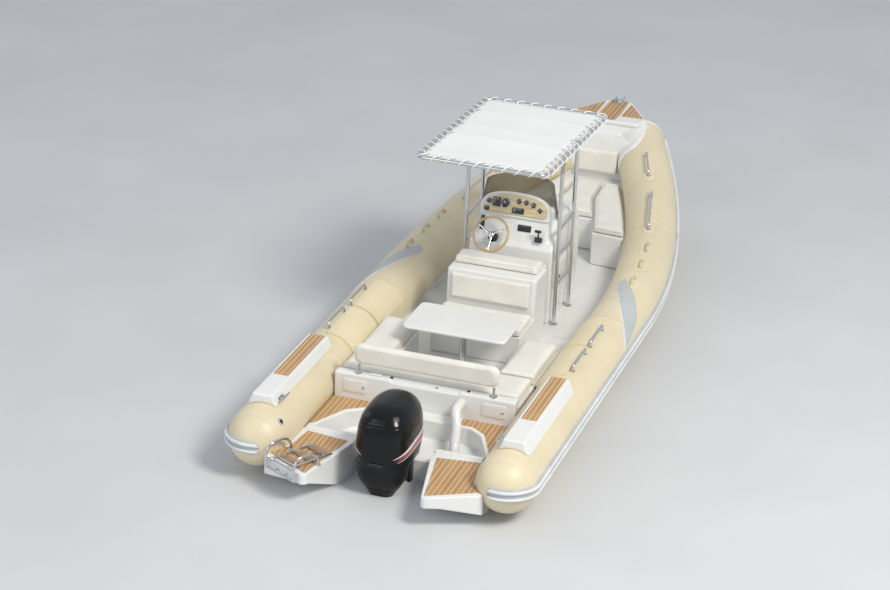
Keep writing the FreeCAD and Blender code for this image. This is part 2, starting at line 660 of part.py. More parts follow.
backrest = slab("stern_backrest", rectangle("rest_aft", "rest_aft + rest_thick", "-rest_half", "rest_half"),
                "rest_low", "rest_top - rest_low", corner="30", lip="30")
keep(backrest, "stern_backrest")
posts = []
post_x = size("rest_aft + 0.5 * rest_thick")
for _, side in SIDES:
    foot = Vector(post_x, side * size("post_half"), size("shelf_top"))
    posts.append(fuse([Part.makeCylinder(size("flange_radius"), size("flange_thick"), foot),
                       Part.makeCylinder(size("post_radius"), size("rest_low - shelf_top"), foot)]))
solid_feature("backrest_posts", Part.makeCompound(posts))

keep(slab("table_top", rectangle("table_aft", "table_front", "-table_half", "table_half"),
          "table_top - table_thick", "table_thick", corner="table_corner", lip="8"), "table_top")
foot = Vector(size("0.5 * (table_aft + table_front) + 60"), 0, size("sole_top"))
solid_feature("table_pedestal", fuse([
    Part.makeCylinder(size("pedestal_foot"), 14, foot),
    Part.makeCylinder(size("pedestal_radius"), size("table_top - table_thick - sole_top"), foot),
    Part.makeCylinder(size("pedestal_foot"), 12, foot + Vector(0, 0, size("table_top - table_thick - sole_top - 12")))]))

# helm seat: a white box with the forward bench moulded on its aft side
helm = profile("helm_seat", [
    ("bench_fore_aft", "sole_top"), ("helm_front", "sole_top"), ("helm_front", "helm_top"),
    ("helm_aft", "helm_top"), ("helm_aft", "fore_bench_top"), ("bench_fore_aft", "fore_bench_top")], "helm_half")
ease(helm, "moulding_round", lambda edge: edge.BoundBox.YLength < 1 and edge.BoundBox.ZMax > size("fore_bench_top") + 1
     and edge.BoundBox.ZMin > size("fore_bench_top") - 1)
ease(helm, "14", at_height("helm_top"))
keep(helm, "helm_seat")
keep(slab("forward_cushion", rectangle("bench_fore_aft - 15", "helm_aft - back_pad_thick - 2",
                                       "-helm_half - 10", "helm_half + 10"),
          "fore_bench_top + seat_gap", "fore_cushion_thick", corner="30", lip="cushion_round"), "forward_cushion")
keep(slab("helm_cushion", rectangle("helm_pad_aft", "helm_front - 10", "-helm_half + 20", "helm_half - 20"),
          "helm_top + seat_gap", "helm_pad_thick", corner="30", lip="cushion_round"), "helm_cushion")
back_pad = slab("helm_back_pad", rectangle("helm_aft - back_pad_thick", "helm_aft - seat_gap",
                                           "-back_pad_half", "back_pad_half"),
                "back_pad_low", "back_pad_top - back_pad_low")
ease(back_pad, "12", lambda edge: abs(edge.BoundBox.XMax - size("helm_aft - back_pad_thick")) < 0.01)
keep(back_pad, "helm_back_pad")

# console: a moulding with a raked dash pod on top, narrower than the box below it
console_lower = profile("console_box", [
    ("console_aft", "sole_top"), ("console_front", "sole_top"), ("console_front", "console_nose"),
    ("console_slope_front", "console_cowl"), ("pod_front - 60", "console_cowl + 60"),
    ("console_aft + 40", "dash_low"), ("console_aft", "console_knee")], "console_half")
ease(console_lower, "console_round", lambda edge: upright(edge) and edge.BoundBox.XMin > size("console_aft") + 9)
ease(console_lower, "24", lambda edge: edge.BoundBox.YLength < 1 and edge.BoundBox.XLength > 100
     and edge.BoundBox.ZMin > size("console_nose") - 30)
console_pod = profile("console_pod", [
    ("console_aft + 30", "dash_low - 20"), ("dash_back - 30", "dash_top - 14"), ("dash_back + 20", "dash_top"),
    ("pod_front - 90", "dash_top - 30"), ("pod_front + 60", "console_cowl - 20")], "console_half - 60")
ease(console_pod, "40", lambda edge: edge.BoundBox.YLength < 1 and edge.BoundBox.ZMin > size("dash_low") - 30
     and edge.BoundBox.ZMax < size("dash_top") + 1)
console = keep(boolean("Fuse", "console", console_lower, console_pod), "console")

dash_lean = math.atan2(size("dash_top - 14 - dash_low + 20"), size("dash_back - 30 - console_aft - 30"))
dash_foot = Vector(size("console_aft + 30"), 0, size("dash_low - 20"))
dash_up = Vector(math.cos(dash_lean), 0, math.sin(dash_lean))
dash_out = Vector(-math.sin(dash_lean), 0, math.cos(dash_lean))


def dash_point(across, up, out):
    """A point by its place across the dash, up its slope and out of its face."""
    return dash_foot + Vector(0, across, 0) + dash_up * up + dash_out * out


def dash_block(across, up, width, height, out, thick):
    corners = [(across - width / 2, up), (across + width / 2, up), (across + width / 2, up + height),
               (across - width / 2, up + height)]
    wire = Part.makePolygon([dash_point(a, b, out) for a, b in corners + corners[:1]])
    return Part.Face(wire).extrude(dash_out * thick)


def dash_disc(across, up, radius, out, thick):
    return Part.makeCylinder(radius, thick, dash_point(across, up, out), dash_out)


panel_half = size("console_half - 60 - dash_margin")
panel_height = (size("dash_top - dash_low") / math.sin(dash_lean)) - 60
dash = dash_block(0, 36, 2 * panel_half, panel_height, 0.3, size("dash_thick"))
dash = dash.makeFillet(30, [edge for edge in dash.Edges if edge.Length < size("dash_thick") + 1])
solid_feature("dash_panel", dash)
dash_face = size("dash_thick") + 0.3
instruments = [dash_disc(90, 250, 48, dash_face, 14), dash_disc(-40, 262, 27, dash_face, 12),
               dash_disc(-110, 262, 27, dash_face, 12), dash_disc(-180, 262, 27, dash_face, 12),
               dash_disc(-250, 262, 27, dash_face, 12), dash_block(205, 190, 120, 100, dash_face, 16),
               dash_block(-120, 90, 110, 70, dash_face, 10), dash_block(-245, 110, 60, 90, dash_face, 10)]
solid_feature("instruments", Part.makeCompound(instruments))

# steering wheel: rim, hub and three spokes about an axis that leans aft and up
wheel_lean = math.radians(size("wheel_tilt"))
wheel_axis = Vector(-math.cos(wheel_lean), 0, math.sin(wheel_lean))
wheel_centre = Vector(size("wheel_x"), size("wheel_side"), size("wheel_height"))
wheel_up = Vector(math.sin(wheel_lean), 0, math.cos(wheel_lean))
wheel_across = Vector(0, 1, 0)
rim = Part.makeTorus(size("wheel_radius"), size("wheel_rim"), wheel_centre, wheel_axis)
wheel_parts = [rim, Part.makeCylinder(size("wheel_hub"), 30, wheel_centre - wheel_axis * 22, wheel_axis)]
for turn in (-90, 30, 150):
    lean = math.radians(turn)
    reach = wheel_across * math.cos(lean) + wheel_up * math.sin(lean)
    wheel_parts.append(bar(wheel_centre - wheel_axis * 8 + reach * 10,
                           wheel_centre + reach * size("wheel_radius"), size("spoke_radius")))
solid_feature("steering_wheel", fuse(wheel_parts))
column_start = wheel_centre - wheel_axis * (22 + size("column_gap"))
column = bar(column_start, wheel_centre - wheel_axis * 400, 26)
column = column.fuse(Part.makeCone(52, 34, 30, wheel_centre - wheel_axis * 92, wheel_axis))
solid_feature("steering_column", column.removeSplitter().cut(console.Shape).Solids[0])

# throttle: a pod on the dash with a lever and a round grip
lever_foot = dash_point(size("throttle_side - 90"), 58, dash_face)
lever = bar(lever_foot + dash_out * 12 + dash_up * 15, lever_foot + dash_out * 70 + dash_up * 90, 8)
solid_feature("throttle", fuse([
    dash_block(size("throttle_side - 90"), 38, 70, 50, dash_face, 30), lever,
    bar(lever_foot + dash_out * 70 + dash_up * 90 - Vector(0, 30, 0),
        lever_foot + dash_out * 70 + dash_up * 90 + Vector(0, 30, 0), 14)]))

# windscreen: a raked sheet that wraps round the front of the dash
screen_foot = Vector(size("screen_centre"), 0, size("screen_low"))
screen_height = size("screen_top - screen_low")
outer = Part.makeCone(size("screen_low_radius"), size("screen_top_radius"), screen_height, screen_foot)
inner = Part.makeCone(size("screen_low_radius - screen_wall"), size("screen_top_radius - screen_wall"),
                      screen_height, screen_foot)
front = Part.makeBox(1000, 1200, 1000, Vector(size("screen_centre + screen_ends"), -600, size("screen_low")))
screen = outer.cut(inner).common(front).cut(console.Shape)
solid_feature("windscreen", max(screen.Solids, key=lambda solid: solid.Volume))

# canopy frame: perimeter tube, cross tubes, four legs to the sole and their rungs
canopy_run = size("canopy_front - canopy_aft")
canopy_fall = size("canopy_aft_height - canopy_front_height") / canopy_run


def canopy_level(along):
    return size("canopy_aft_height") - (along - size("canopy_aft")) * canopy_fall


def canopy_corner(along, side, inset):
    """A corner of the canopy, drawn in from the perimeter tube's centre line."""
    place = size(along) + (inset if along == "canopy_aft" else -inset)
    return Vector(place, side * (size("canopy_half") - inset), canopy_level(place))


CORNERS = (("canopy_aft", 1), ("canopy_front", 1), ("canopy_front", -1), ("canopy_aft", -1))
loop = rounded_path([canopy_corner(along, side, 0) for along, side in CORNERS], size("canopy_corner"), True)
tube = size("frame_tube")
frame = [rod(loop, tube)]
for _, side in SIDES:
    for leg in ("leg_aft", "leg_front"):
        foot = Vector(size(leg), side * size("leg_half"), size("sole_top"))
        head = Vector(foot.x, foot.y, canopy_level(foot.x) - 10)
        frame += [bar(foot, head, tube), Part.makeCylinder(2.2 * tube, 8, foot)]
    for aft, fore in ((620, 600), (932, 907), (1188, 1192)):
        frame.append(bar(Vector(size("leg_aft"), side * size("leg_half"), aft),
                         Vector(size("leg_front"), side * size("leg_half"), fore), 0.8 * tube))
    brace = size("leg_aft") - 330
    frame.append(bar(Vector(size("leg_aft"), side * size("leg_half"), canopy_level(size("leg_aft")) - 330),
                     Vector(brace, side * size("canopy_half - 40"), canopy_level(brace)), 0.8 * tube))
for place in ("leg_aft - 330", "leg_aft", "leg_front"):
    along = size(place)
    frame.append(bar(Vector(along, -size("canopy_half"), canopy_level(along)),
                     Vector(along, size("canopy_half"), canopy_level(along)), 0.9 * tube))
solid_feature("canopy_frame", fuse(frame))

inset = size("canopy_inset")
sheet_wire = rounded_path([canopy_corner(along, side, inset) for along, side in CORNERS],
                          size("canopy_corner - canopy_inset"), True)
rise = Vector(0, 0, 1)
cloth = Part.Face(sheet_wire).extrude(rise * size("canopy_thick"))
cloth.translate(rise * (0.9 * tube + size("seat_gap")))
solid_feature("canopy", cloth)

# outboard engine, from the clamp on the transom to the propeller
pivot = Vector(size("tilt_x"), 0, size("tilt_z"))
port_y = Vector(0, 1, 0)
clamp_parts = []
for _, side in SIDES:
    inner_y = side * size("clamp_out") - (size("clamp_plate") if side > 0 else 0)
    corners = [(-0.3, size("clamp_low")), (-0.3, size("transom_top") + 0.3), (28, size("transom_top") + 0.3),
               (28, 215), (size("tilt_x + tilt_barrel") - 1, 250), (size("tilt_x - tilt_barrel") + 1, 262),
               (-86, 170), (-58, size("clamp_low"))]
    wire = Part.makePolygon([Vector(x, inner_y, z) for x, z in corners + corners[:1]])
    clamp_parts.append(Part.Face(wire).extrude(port_y * size("clamp_plate")))
    clamp_parts.append(Part.makeCylinder(size("tilt_barrel"), size("clamp_plate"),
                                         Vector(pivot.x, inner_y, pivot.z), port_y))
clamp_parts.append(Part.makeBox(22, size("2 * clamp_out"), 60, Vector(-22.3, -size("clamp_out"), size("clamp_low"))))
clamp_parts.append(bar(pivot - port_y * size("clamp_out"), pivot + port_y * size("clamp_out"), size("tilt_pin")))
solid_feature("clamp_bracket", fuse(clamp_parts))

inside = size("clamp_out - clamp_plate") - 6
king_foot = Vector(size("steer_x"), 0, size("king_low"))
king_height = size("king_top - king_low")
web = Part.makePolygon([Vector(pivot.x, -70, pivot.z - 30), Vector(pivot.x, -70, pivot.z + 30),
                        Vector(size("steer_x"), -70, size("king_top")), Vector(size("steer_x"), -70, size("king_low") + 60),
                        Vector(-105, -70, size("clamp_low")), Vector(pivot.x, -70, pivot.z - 30)])
swivel = fuse([bar(pivot - port_y * inside, pivot + port_y * inside, size("tilt_barrel")),
               Part.Face(web).extrude(port_y * 140), Part.makeCylinder(size("king_tube"), king_height, king_foot)])
swivel = swivel.cut(bar(pivot - port_y * 300, pivot + port_y * 300, size("tilt_pin + pin_gap")))
swivel = swivel.cut(Part.makeCylinder(size("king_pin + pin_gap"), 900, king_foot - rise * 100))
solid_feature("swivel_bracket", swivel)


def plan_section(level, front, aft, half, corner):
    """A rounded rectangle across the engine at one height."""
    points = [Vector(front, half, level), Vector(aft, half, level), Vector(aft, -half, level),
              Vector(front, -half, level)]
    return rounded_path(points, corner, True)


def loft(sections):
    return Part.makeLoft([plan_section(*section) for section in sections], True, False)


rows = [[size("cowl_%s_%d" % (column, index)) for column in COWL_COLUMNS] for index in range(len(COWL))]
wall = size("cowl_wall")
hollow = [[level, front - wall, aft + wall, half - wall, corner - wall] for level, front, aft, half, corner in rows]
hollow[0][0] -= 1
hollow[-1][0] -= wall
solid_feature("upper_cowl", loft(rows).cut(loft(hollow)))
pan_low = size("pan_top - pan_thick")
leg_front = size("leg_front_x")
pan = loft([(pan_low, size("pan_front - 8"), size("pan_aft + 8"), size("pan_half - 8"), 136),
            (size("pan_top"), size("pan_front"), size("pan_aft"), size("pan_half"), 142)])
skirt = loft([(80, leg_front, -462, 160, 90), (190, leg_front, -500, 212, 110),
              (pan_low + 1, leg_front, size("pan_aft + 10"), size("pan_half - 10"), 130)])
solid_feature("lower_cowl", fuse([pan, skirt]))
solid_feature("powerhead", Part.makeBox(size("power_front - power_aft"), size("2 * power_half"), size("power_high"),
                                        Vector(size("power_aft"), -size("power_half"), size("pan_top + seat_gap"))))

leg_parts = [loft([(79.7, leg_front, -458, 154, 86), (-40, leg_front, -412, 84, 60)]),
             loft([(-40, leg_front, -412, 84, 60), (-180, leg_front, -395, 60, 40),
                   (size("leg_low"), leg_front, -430, 46, 36)]),
             Part.makeBox(size("steer_x - leg_front_x") + 60, 90, size("yoke_thick"),
                          Vector(leg_front - 10, -45, size("king_low - yoke_thick - pin_gap"))),
             Part.makeCylinder(size("king_pin"), pan_low - size("king_low - yoke_thick + seat_gap"),
                               king_foot - rise * size("yoke_thick"))]
solid_feature("engine_leg", fuse(leg_parts))

shaft = Vector(size("gear_front"), 0, size("shaft_z"))
radius = size("gear_radius")
plate_top = size("plate_height")
nose = Part.makePolygon([shaft, shaft + Vector(-18, 0, 30), shaft + Vector(-70, 0, radius - 8),
                         shaft + Vector(-150, 0, radius), Vector(-420, 0, shaft.z + radius),
                         Vector(size("gear_aft"), 0, shaft.z + 50), Vector(size("gear_aft"), 0, shaft.z), shaft])
torpedo = Part.Face(nose).revolve(shaft, Vector(1, 0, 0), 360)
strut = loft([(size("leg_low") - 0.3, leg_front, -430, 46, 36), (plate_top - 60, leg_front + 4, -420, 34, 28),
              (shaft.z + 20, leg_front + 10, -410, 26, 20)])
plate = Part.Face(rounded_path([Vector(-185, size("plate_half") * 0.6, plate_top), Vector(-640, size("plate_half"), plate_top),
                                Vector(-640, -size("plate_half"), plate_top),
                                Vector(-185, -size("plate_half") * 0.6, plate_top)], 50, True))
skeg_half = size("skeg_thick") / 2
skeg = Part.makePolygon([Vector(x, -skeg_half, z) for x, z in (
    (-215, shaft.z - 30), (-430, shaft.z - 30), (-485, size("skeg_low")), (-390, size("skeg_low")),
    (-215, shaft.z - 30))])
solid_feature("gearcase", fuse([torpedo, strut, plate.extrude(rise * -size("plate_thick")),
                                Part.Face(skeg).extrude(port_y * 2 * skeg_half)]))


def blade_section(reach, chord, pitch_angle, thick):
    """A flat oval cut of one blade, square to its length, turned by the pitch."""
    turn = math.radians(pitch_angle)
    along = Vector(-math.sin(turn), math.cos(turn), 0)
    across = Vector(math.cos(turn), math.sin(turn), 0)
    centre = Vector(size("prop_front - 0.5 * prop_length"), 0, reach)
    ends = [centre - along * chord / 2, centre + across * thick / 2,
            centre + along * chord / 2, centre - across * thick / 2]
    return Part.Wire([Part.Arc(ends[0], ends[1], ends[2]).toShape(), Part.Arc(ends[2], ends[3], ends[0]).toShape()])


blade = Part.makeLoft([blade_section(size("prop_hub") - 10, 92, 38, size("blade_root")),
                       blade_section(0.62 * size("prop_radius"), 150, 58, size("blade_root") - 2),
                       blade_section(0.9 * size("prop_radius"), 104, 66, size("blade_tip")),
                       blade_section(size("prop_radius"), 36, 69, size("blade_tip") - 1)], True, False)
axle = Vector(size("prop_front"), 0, 0)
hub = Part.makeCylinder(size("prop_hub"), size("prop_length"), axle, Vector(-1, 0, 0))
hub = hub.fuse(Part.makeCone(size("prop_hub"), 20, 34, axle - Vector(size("prop_length"), 0, 0), Vector(-1, 0, 0)))
blades = []
for count in range(3):
    turned = blade.copy()
    turned.rotate(Vector(), Vector(1, 0, 0), 120 * count)
    blades.append(turned)
propeller = fuse([hub] + blades)
propeller.translate(Vector(size("gear_aft - prop_gap - prop_front"), 0, shaft.z))
solid_feature("propeller", propeller)

# boarding ladder, in a frame on the middle of the port platform's aft edge
edge_run = Vector(size("platform_aft - platform_side"), size("platform_side_half - platform_aft_half"), 0).normalize()
edge_out = Vector(-edge_run.y, edge_run.x, 0)
edge_middle = Vector(-size("0.5 * (platform_aft + platform_side)"),
                     size("0.5 * (platform_aft_half + platform_side_half)"), size("deck_top"))


def edge_point(along, out, up):
    return edge_middle + edge_run * along + edge_out * out + rise * up


arch_tube = size("arch_tube")
deck_face = size("teak_thick + seat_gap")
arches = []
arch_half = size("arch_half")
out, lift = size("ladder_out"), size("ladder_lift")
for side in (-1, 1):
    hoop = rounded_path([edge_point(side * arch_half, -size("arch_foot"), deck_face + 3),
                         edge_point(side * arch_half, -size("arch_foot"), size("arch_rise")),
                         edge_point(side * arch_half, out, size("arch_rise")),
                         edge_point(side * arch_half, out, -size("arch_drop"))], 100)
    arches += [rod(hoop, arch_tube),
               Part.makeCylinder(size("foot_radius"), 6, edge_point(side * arch_half, -size("arch_foot"), deck_face))]
arches.append(bar(edge_point(-arch_half - 8, out, -size("arch_drop")),
                  edge_point(arch_half + 8, out, -size("arch_drop")), arch_tube))
arches.append(bar(edge_point(-arch_half, out, lift), edge_point(arch_half, out, lift), size("ladder_rod")))
arches.append(bar(edge_point(-60, 0.3, -60), edge_point(-60, out, -60), 10))
arches.append(bar(edge_point(60, 0.3, -60), edge_point(60, out, -60), 10))
solid_feature("ladder_arches", fuse(arches))
rungs = []
for side in (-1, 1):
    along = side * size("ladder_half")
    rungs.append(bar(edge_point(along, out, lift), edge_point(along, out - size("ladder_length"), lift), size("stringer")))
    rungs.append(bar(edge_point(along - 14, out, lift), edge_point(along + 14, out, lift), size("ladder_eye")))
for share in (0.3, 0.64, 0.98):
    tread = Part.makeBox(size("2 * ladder_half"), size("tread_width"), size("tread_thick"))
    tread.translate(Vector(-size("ladder_half"), -size("tread_width") / 2, -size("tread_thick") / 2))
    middle = edge_point(0, out - share * size("ladder_length") + size("tread_width") / 2, lift)
    tread.Placement = Placement(middle, Rotation(edge_run, edge_out, rise, "XYZ")).multiply(tread.Placement)
    rungs.append(tread)
ladder = fuse(rungs).cut(bar(edge_point(-400, out, lift), edge_point(400, out, lift), size("ladder_rod + pin_gap")))
solid_feature("swim_ladder", ladder)


def staple(aft, front, side, angle, stand, thick, bend):
    """A bent rod that stands on the tube's skin on two round feet."""
    low = size("foot_thick")
    points = [on_tube(aft, side, angle, 1), on_tube(aft + 4, side, angle, stand),
              on_tube(front - 4, side, angle, stand), on_tube(front, side, angle, 1)]
    shapes = [rod(rounded_path(points, bend), thick)]
    for place in (aft, front):
        base, tip = on_tube(place, side, angle, 0.3), on_tube(place, side, angle, low)
        shapes.append(Part.makeCylinder(size("foot_radius"), low + 3, base - (tip - base).normalize() * 3, tip - base))
    return fuse(shapes).cut(seats["port" if side > 0 else "stbd"].Shape)


rails, grips, patches = [], [], []
for word, side in SIDES:
    rails += [staple(aft, front, side, angle, size("rail_stand"), size("rail_rod"), size("rail_bend"))
             for aft, front, angle in ((1420, 1830, 82), (2000, 2410, 82), (4860, 5540, 92), (5930, 6290, 96))]
    grips += [staple(place - 75, place + 75, side, 86, size("handle_stand"), size("handle_rod"), size("handle_bend"))
             for place in (3640, 4060, 4440)]
    for aft, front in ((1290, 1930), (1980, 2640)):
        rings = []
        for out in (size("seat_gap"), size("bolster_thick")):
            points = [on_tube(aft, side, angle, out) for angle in (88, 122, 156)]
            rings.append((points, Part.Arc(*points).toShape()))
        (low, low_arc), (high, high_arc) = rings
        wire = Part.Wire(Part.__sortEdges__([low_arc, high_arc, Part.LineSegment(low[0], high[0]).toShape(),
                                             Part.LineSegment(low[2], high[2]).toShape()]))
        patches.append(Part.Face(wire).extrude(Vector(front - aft, 0, 0)))
solid_feature("grab_rails", Part.makeCompound([solid for rail in rails for solid in rail.Solids]))
solid_feature("tube_handles", Part.makeCompound([solid for grip in grips for solid in grip.Solids]))
solid_feature("tube_bolsters", Part.makeCompound(patches))

# rigging hose from the splash well beside the engine to the bench wall
hose_route = [Vector(190, -470, size("well_floor") + 0.3), Vector(190, -470, 300), Vector(470, -400, 330),
              Vector(560, -350, 455), Vector(size("bench_aft") - 0.3, -350, 455)]
solid_feature("rigging_hose", rod(rounded_path(hose_route, size("hose_bend")), size("hose_radius")))

# towing eye on the stem, two eyes on the transom, cleats on the step pads, anchor roller
stem_place = 7010 + 62
eye = Part.makeCylinder(size("eye_outer"), size("eye_thick"),
                        Vector(stem_place, -size("eye_thick") / 2, size("bow_eye_height")), port_y)
eye = eye.fuse(Part.makeBox(140, size("eye_thick"), 60, Vector(stem_place - 140, -size("eye_thick") / 2,
                                                               size("bow_eye_height") - 30)))
eye = eye.cut(Part.makeCylinder(size("eye_bore"), 100, Vector(stem_place, -50, size("bow_eye_height")), port_y))
eye = max(eye.cut(hull.Shape).Solids, key=lambda solid: solid.BoundBox.XMax)
solid_feature("bow_eye", eye)
eyes = []
for _, side in SIDES:
    centre = Vector(-46, side * size("transom_eye_half"), size("transom_eye_height"))
    low = centre - port_y * (size("eye_thick") / 2)
    shape = Part.makeCylinder(size("eye_outer"), size("eye_thick"), low, port_y)
    shape = shape.fuse(Part.makeBox(46 - 0.3, size("eye_thick"), 64, low + Vector(0, 0, -32)))
    shape = shape.fuse(Part.makeBox(8, 80, 100, centre + Vector(46 - 8.3, -40, -50)))
    eyes.append(shape.cut(Part.makeCylinder(size("eye_bore"), 100, centre - port_y * 50, port_y)).removeSplitter())
solid_feature("transom_eyes", Part.makeCompound(eyes))
cleats = []
slope = Vector(0, size("step_skirt - step_half"), size("tube_height + 0.78 * tube_radius - step_top")).normalize()
for _, side in SIDES:
    down = Vector(0, -side * slope.y, slope.z)
    face = down.cross(Vector(1, 0, 0)) * side
    foot = Vector(-170, side * size("tube_half + 12 - 0.5 * (step_half + step_skirt)"),
                  size("0.5 * (step_top + tube_height + 0.78 * tube_radius)")) + face * size("seat_gap")
    half = size("cleat_length") / 2
    cleat = fuse([bar(Vector(-half, 0, size("cleat_stand")), Vector(half, 0, size("cleat_stand")), 9),
                  Part.makeBox(120, 44, 6, Vector(-60, -22, 0)),
                  Part.makeCylinder(11, size("cleat_stand"), Vector(-32, 0, 0)),
                  Part.makeCylinder(11, size("cleat_stand"), Vector(32, 0, 0))])
    cleat.Placement = Placement(foot, Rotation(Vector(1, 0, 0), Vector(), face, "XZY"))
    cleats.append(cleat)
solid_feature("mooring_cleats", Part.makeCompound(cleats))
deck_level = size("nose_top + deck_thick + seat_gap")
notch_x = size("bow_deck_tip - roller_notch")
roller_centre = Vector(notch_x + 44, 0, deck_level - 6)
roller_parts = [Part.makeCylinder(size("roller_radius"), 66, roller_centre - port_y * 33, port_y),
                Part.makeCylinder(7, 84, roller_centre - port_y * 42, port_y)]
for side in (-1, 1):
    roller_parts.append(Part.makeBox(130, 5, 56, Vector(notch_x - 60, side * 40 - 2.5, deck_level)))
    roller_parts.append(Part.makeBox(64, 5, 70, Vector(notch_x + 4, side * 40 - 2.5, deck_level - 40)))
roller_parts.append(Part.makeBox(56, 90, 5, Vector(notch_x - 60, -45, deck_level)))
solid_feature("anchor_roller", fuse(roller_parts))

doc.recompute()
failed = [item.Name for item in doc.Objects if "Invalid" in item.State or "Error" in item.State]
for item in kept:
    if item.Shape.isNull() or not item.Shape.isValid():
        failed.append(item.Label)
if failed:
    raise ValueError("not built: " + ", ".join(failed))
for item in kept:
    item.Shape.exportStep("parts/%s.step" % item.Label)
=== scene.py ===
"""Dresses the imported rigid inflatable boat: coated fabric tubes, gelcoat mouldings, teak decks,
vinyl cushions, laced canopy, dash and outboard engine. Metres, +X forward, +Y port, +Z up."""
import json
import math

import bmesh
import bpy
import numpy as np
from mathutils import Matrix, Vector
from mathutils.bvhtree import BVHTree


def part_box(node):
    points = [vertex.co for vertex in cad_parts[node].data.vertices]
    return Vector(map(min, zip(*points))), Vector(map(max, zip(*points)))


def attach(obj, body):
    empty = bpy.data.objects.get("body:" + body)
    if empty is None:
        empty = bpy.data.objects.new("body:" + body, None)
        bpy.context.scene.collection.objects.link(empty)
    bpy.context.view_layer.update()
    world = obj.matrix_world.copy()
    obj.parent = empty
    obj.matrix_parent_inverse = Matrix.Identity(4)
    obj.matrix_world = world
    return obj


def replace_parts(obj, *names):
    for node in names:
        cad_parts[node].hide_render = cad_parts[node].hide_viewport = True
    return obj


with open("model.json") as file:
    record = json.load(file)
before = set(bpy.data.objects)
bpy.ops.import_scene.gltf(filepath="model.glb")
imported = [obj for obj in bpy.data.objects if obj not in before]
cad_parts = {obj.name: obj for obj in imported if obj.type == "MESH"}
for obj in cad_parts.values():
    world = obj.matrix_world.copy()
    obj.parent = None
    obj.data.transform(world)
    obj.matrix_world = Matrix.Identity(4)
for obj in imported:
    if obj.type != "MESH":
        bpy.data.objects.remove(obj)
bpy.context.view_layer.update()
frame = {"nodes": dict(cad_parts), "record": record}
nodes = frame["nodes"]
scene = bpy.context.scene

SIDES = (("port", 1), ("stbd", -1))
TAU = 2 * math.pi

# air tubes, as in the part: a straight run, then one arc in a plane that leans inboard
TUBE_RADIUS, TUBE_HALF, TUBE_HEIGHT, TUBE_STERN = 0.270, 1.140, 0.360, -0.400
BEND_START, BEND_RADIUS, BEND_ANGLE, BEND_TILT = 3.300, 7.200, math.radians(30), math.radians(32)


# ---- meshes ----

def grid_faces(rows, columns, wrap_rows=False, wrap_columns=False):
    """Quads of a grid of points numbered row by row. A wrapped direction joins its last line to
    its first."""
    row = np.arange(rows if wrap_rows else rows - 1)
    column = np.arange(columns if wrap_columns else columns - 1)
    row, column = np.meshgrid(row, column, indexing="ij")
    row_next, column_next = (row + 1) % rows, (column + 1) % columns
    corners = (row * columns + column, row * columns + column_next,
               row_next * columns + column_next, row_next * columns + column)
    return np.stack(corners, axis=-1).reshape(-1, 4)


def closed_patch(rows, columns):
    """Faces of two equal grids, one over the other, joined round their rims."""
    over = grid_faces(rows, columns)
    under = over[:, ::-1] + rows * columns
    index = np.arange(rows * columns).reshape(rows, columns)
    rim = np.concatenate([index[0, :], index[1:, -1], index[-1, -2::-1], index[-2:0:-1, 0]])
    onward = np.roll(rim, -1)
    wall = np.stack([rim, rim + rows * columns, onward + rows * columns, onward], axis=1)
    return np.concatenate([over, under, wall])


def cleaned(mesh, thin=False, outward=False):
    """Merges a mesh's doubled points and, where asked, drops needle faces or turns all outwards."""
    shape = bmesh.new()
    shape.from_mesh(mesh)
    bmesh.ops.remove_doubles(shape, verts=shape.verts, dist=1e-5)
    if thin:
        bmesh.ops.dissolve_degenerate(shape, edges=shape.edges, dist=1e-6)
    if outward:
        bmesh.ops.recalc_face_normals(shape, faces=shape.faces)
    shape.to_mesh(mesh)
    shape.free()
    return mesh


def coordinates(mesh, kind="co"):
    """The places, or the normals, of a mesh's points."""
    values = np.zeros(len(mesh.vertices) * 3)
    mesh.vertices.foreach_get(kind, values)
    return values.reshape(-1, 3)


def new_mesh(name, points, faces):
    mesh = bpy.data.meshes.new(name)
    mesh.from_pydata(np.asarray(points, float).reshape(-1, 3).tolist(), [], np.asarray(faces).tolist())
    return mesh


def new_object(name, mesh, finish, flat=False):
    """An object of one finish, smooth or flat shaded."""
    mesh.materials.clear()
    mesh.materials.append(finishes[finish])
    mesh.polygons.foreach_set("use_smooth", np.full(len(mesh.polygons), not flat))
    piece = bpy.data.objects.new(name, mesh)
    scene.collection.objects.link(piece)
    return piece


def settle(piece, body):
    """The piece moves with a body."""
    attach(piece, body)
    return piece


def make_piece(name, shape, slot, finish=None, body="boat", flat=False, outward=True):
    """An object from points and quads, its doubled points merged and its faces turned outwards."""
    mesh = cleaned(new_mesh(name, *shape), thin=True, outward=outward)
    return settle(new_object(name, mesh, finish or slot, flat), body)


def add_modifier(piece, kind, **values):
    made = piece.modifiers.new(kind.lower(), kind)
    for name, value in values.items():
        setattr(made, name, value)
    return made


def even_grid(piece, cell, rounds):
    """Gives a piece an even grid of cells and eases its corners by rounds of smoothing."""
    add_modifier(piece, "REMESH", mode="VOXEL", voxel_size=cell)
    add_modifier(piece, "SMOOTH", factor=0.5, iterations=rounds)


def evaluated(piece):
    return piece.evaluated_get(bpy.context.evaluated_depsgraph_get())


def joined(parts):
    """Several pairs of points and faces as one pair."""
    points, faces, count = [], [], 0
    for part_points, part_faces in parts:
        points.append(np.asarray(part_points, float).reshape(-1, 3))
        faces.append(np.asarray(part_faces) + count)
        count += len(points[-1])
    return np.concatenate(points), np.concatenate(faces)


def unit(vectors):
    return vectors / np.maximum(np.linalg.norm(vectors, axis=-1, keepdims=True), 1e-12)


def around(sides):
    """Even turns of a whole round."""
    return np.linspace(0, TAU, sides, endpoint=False)


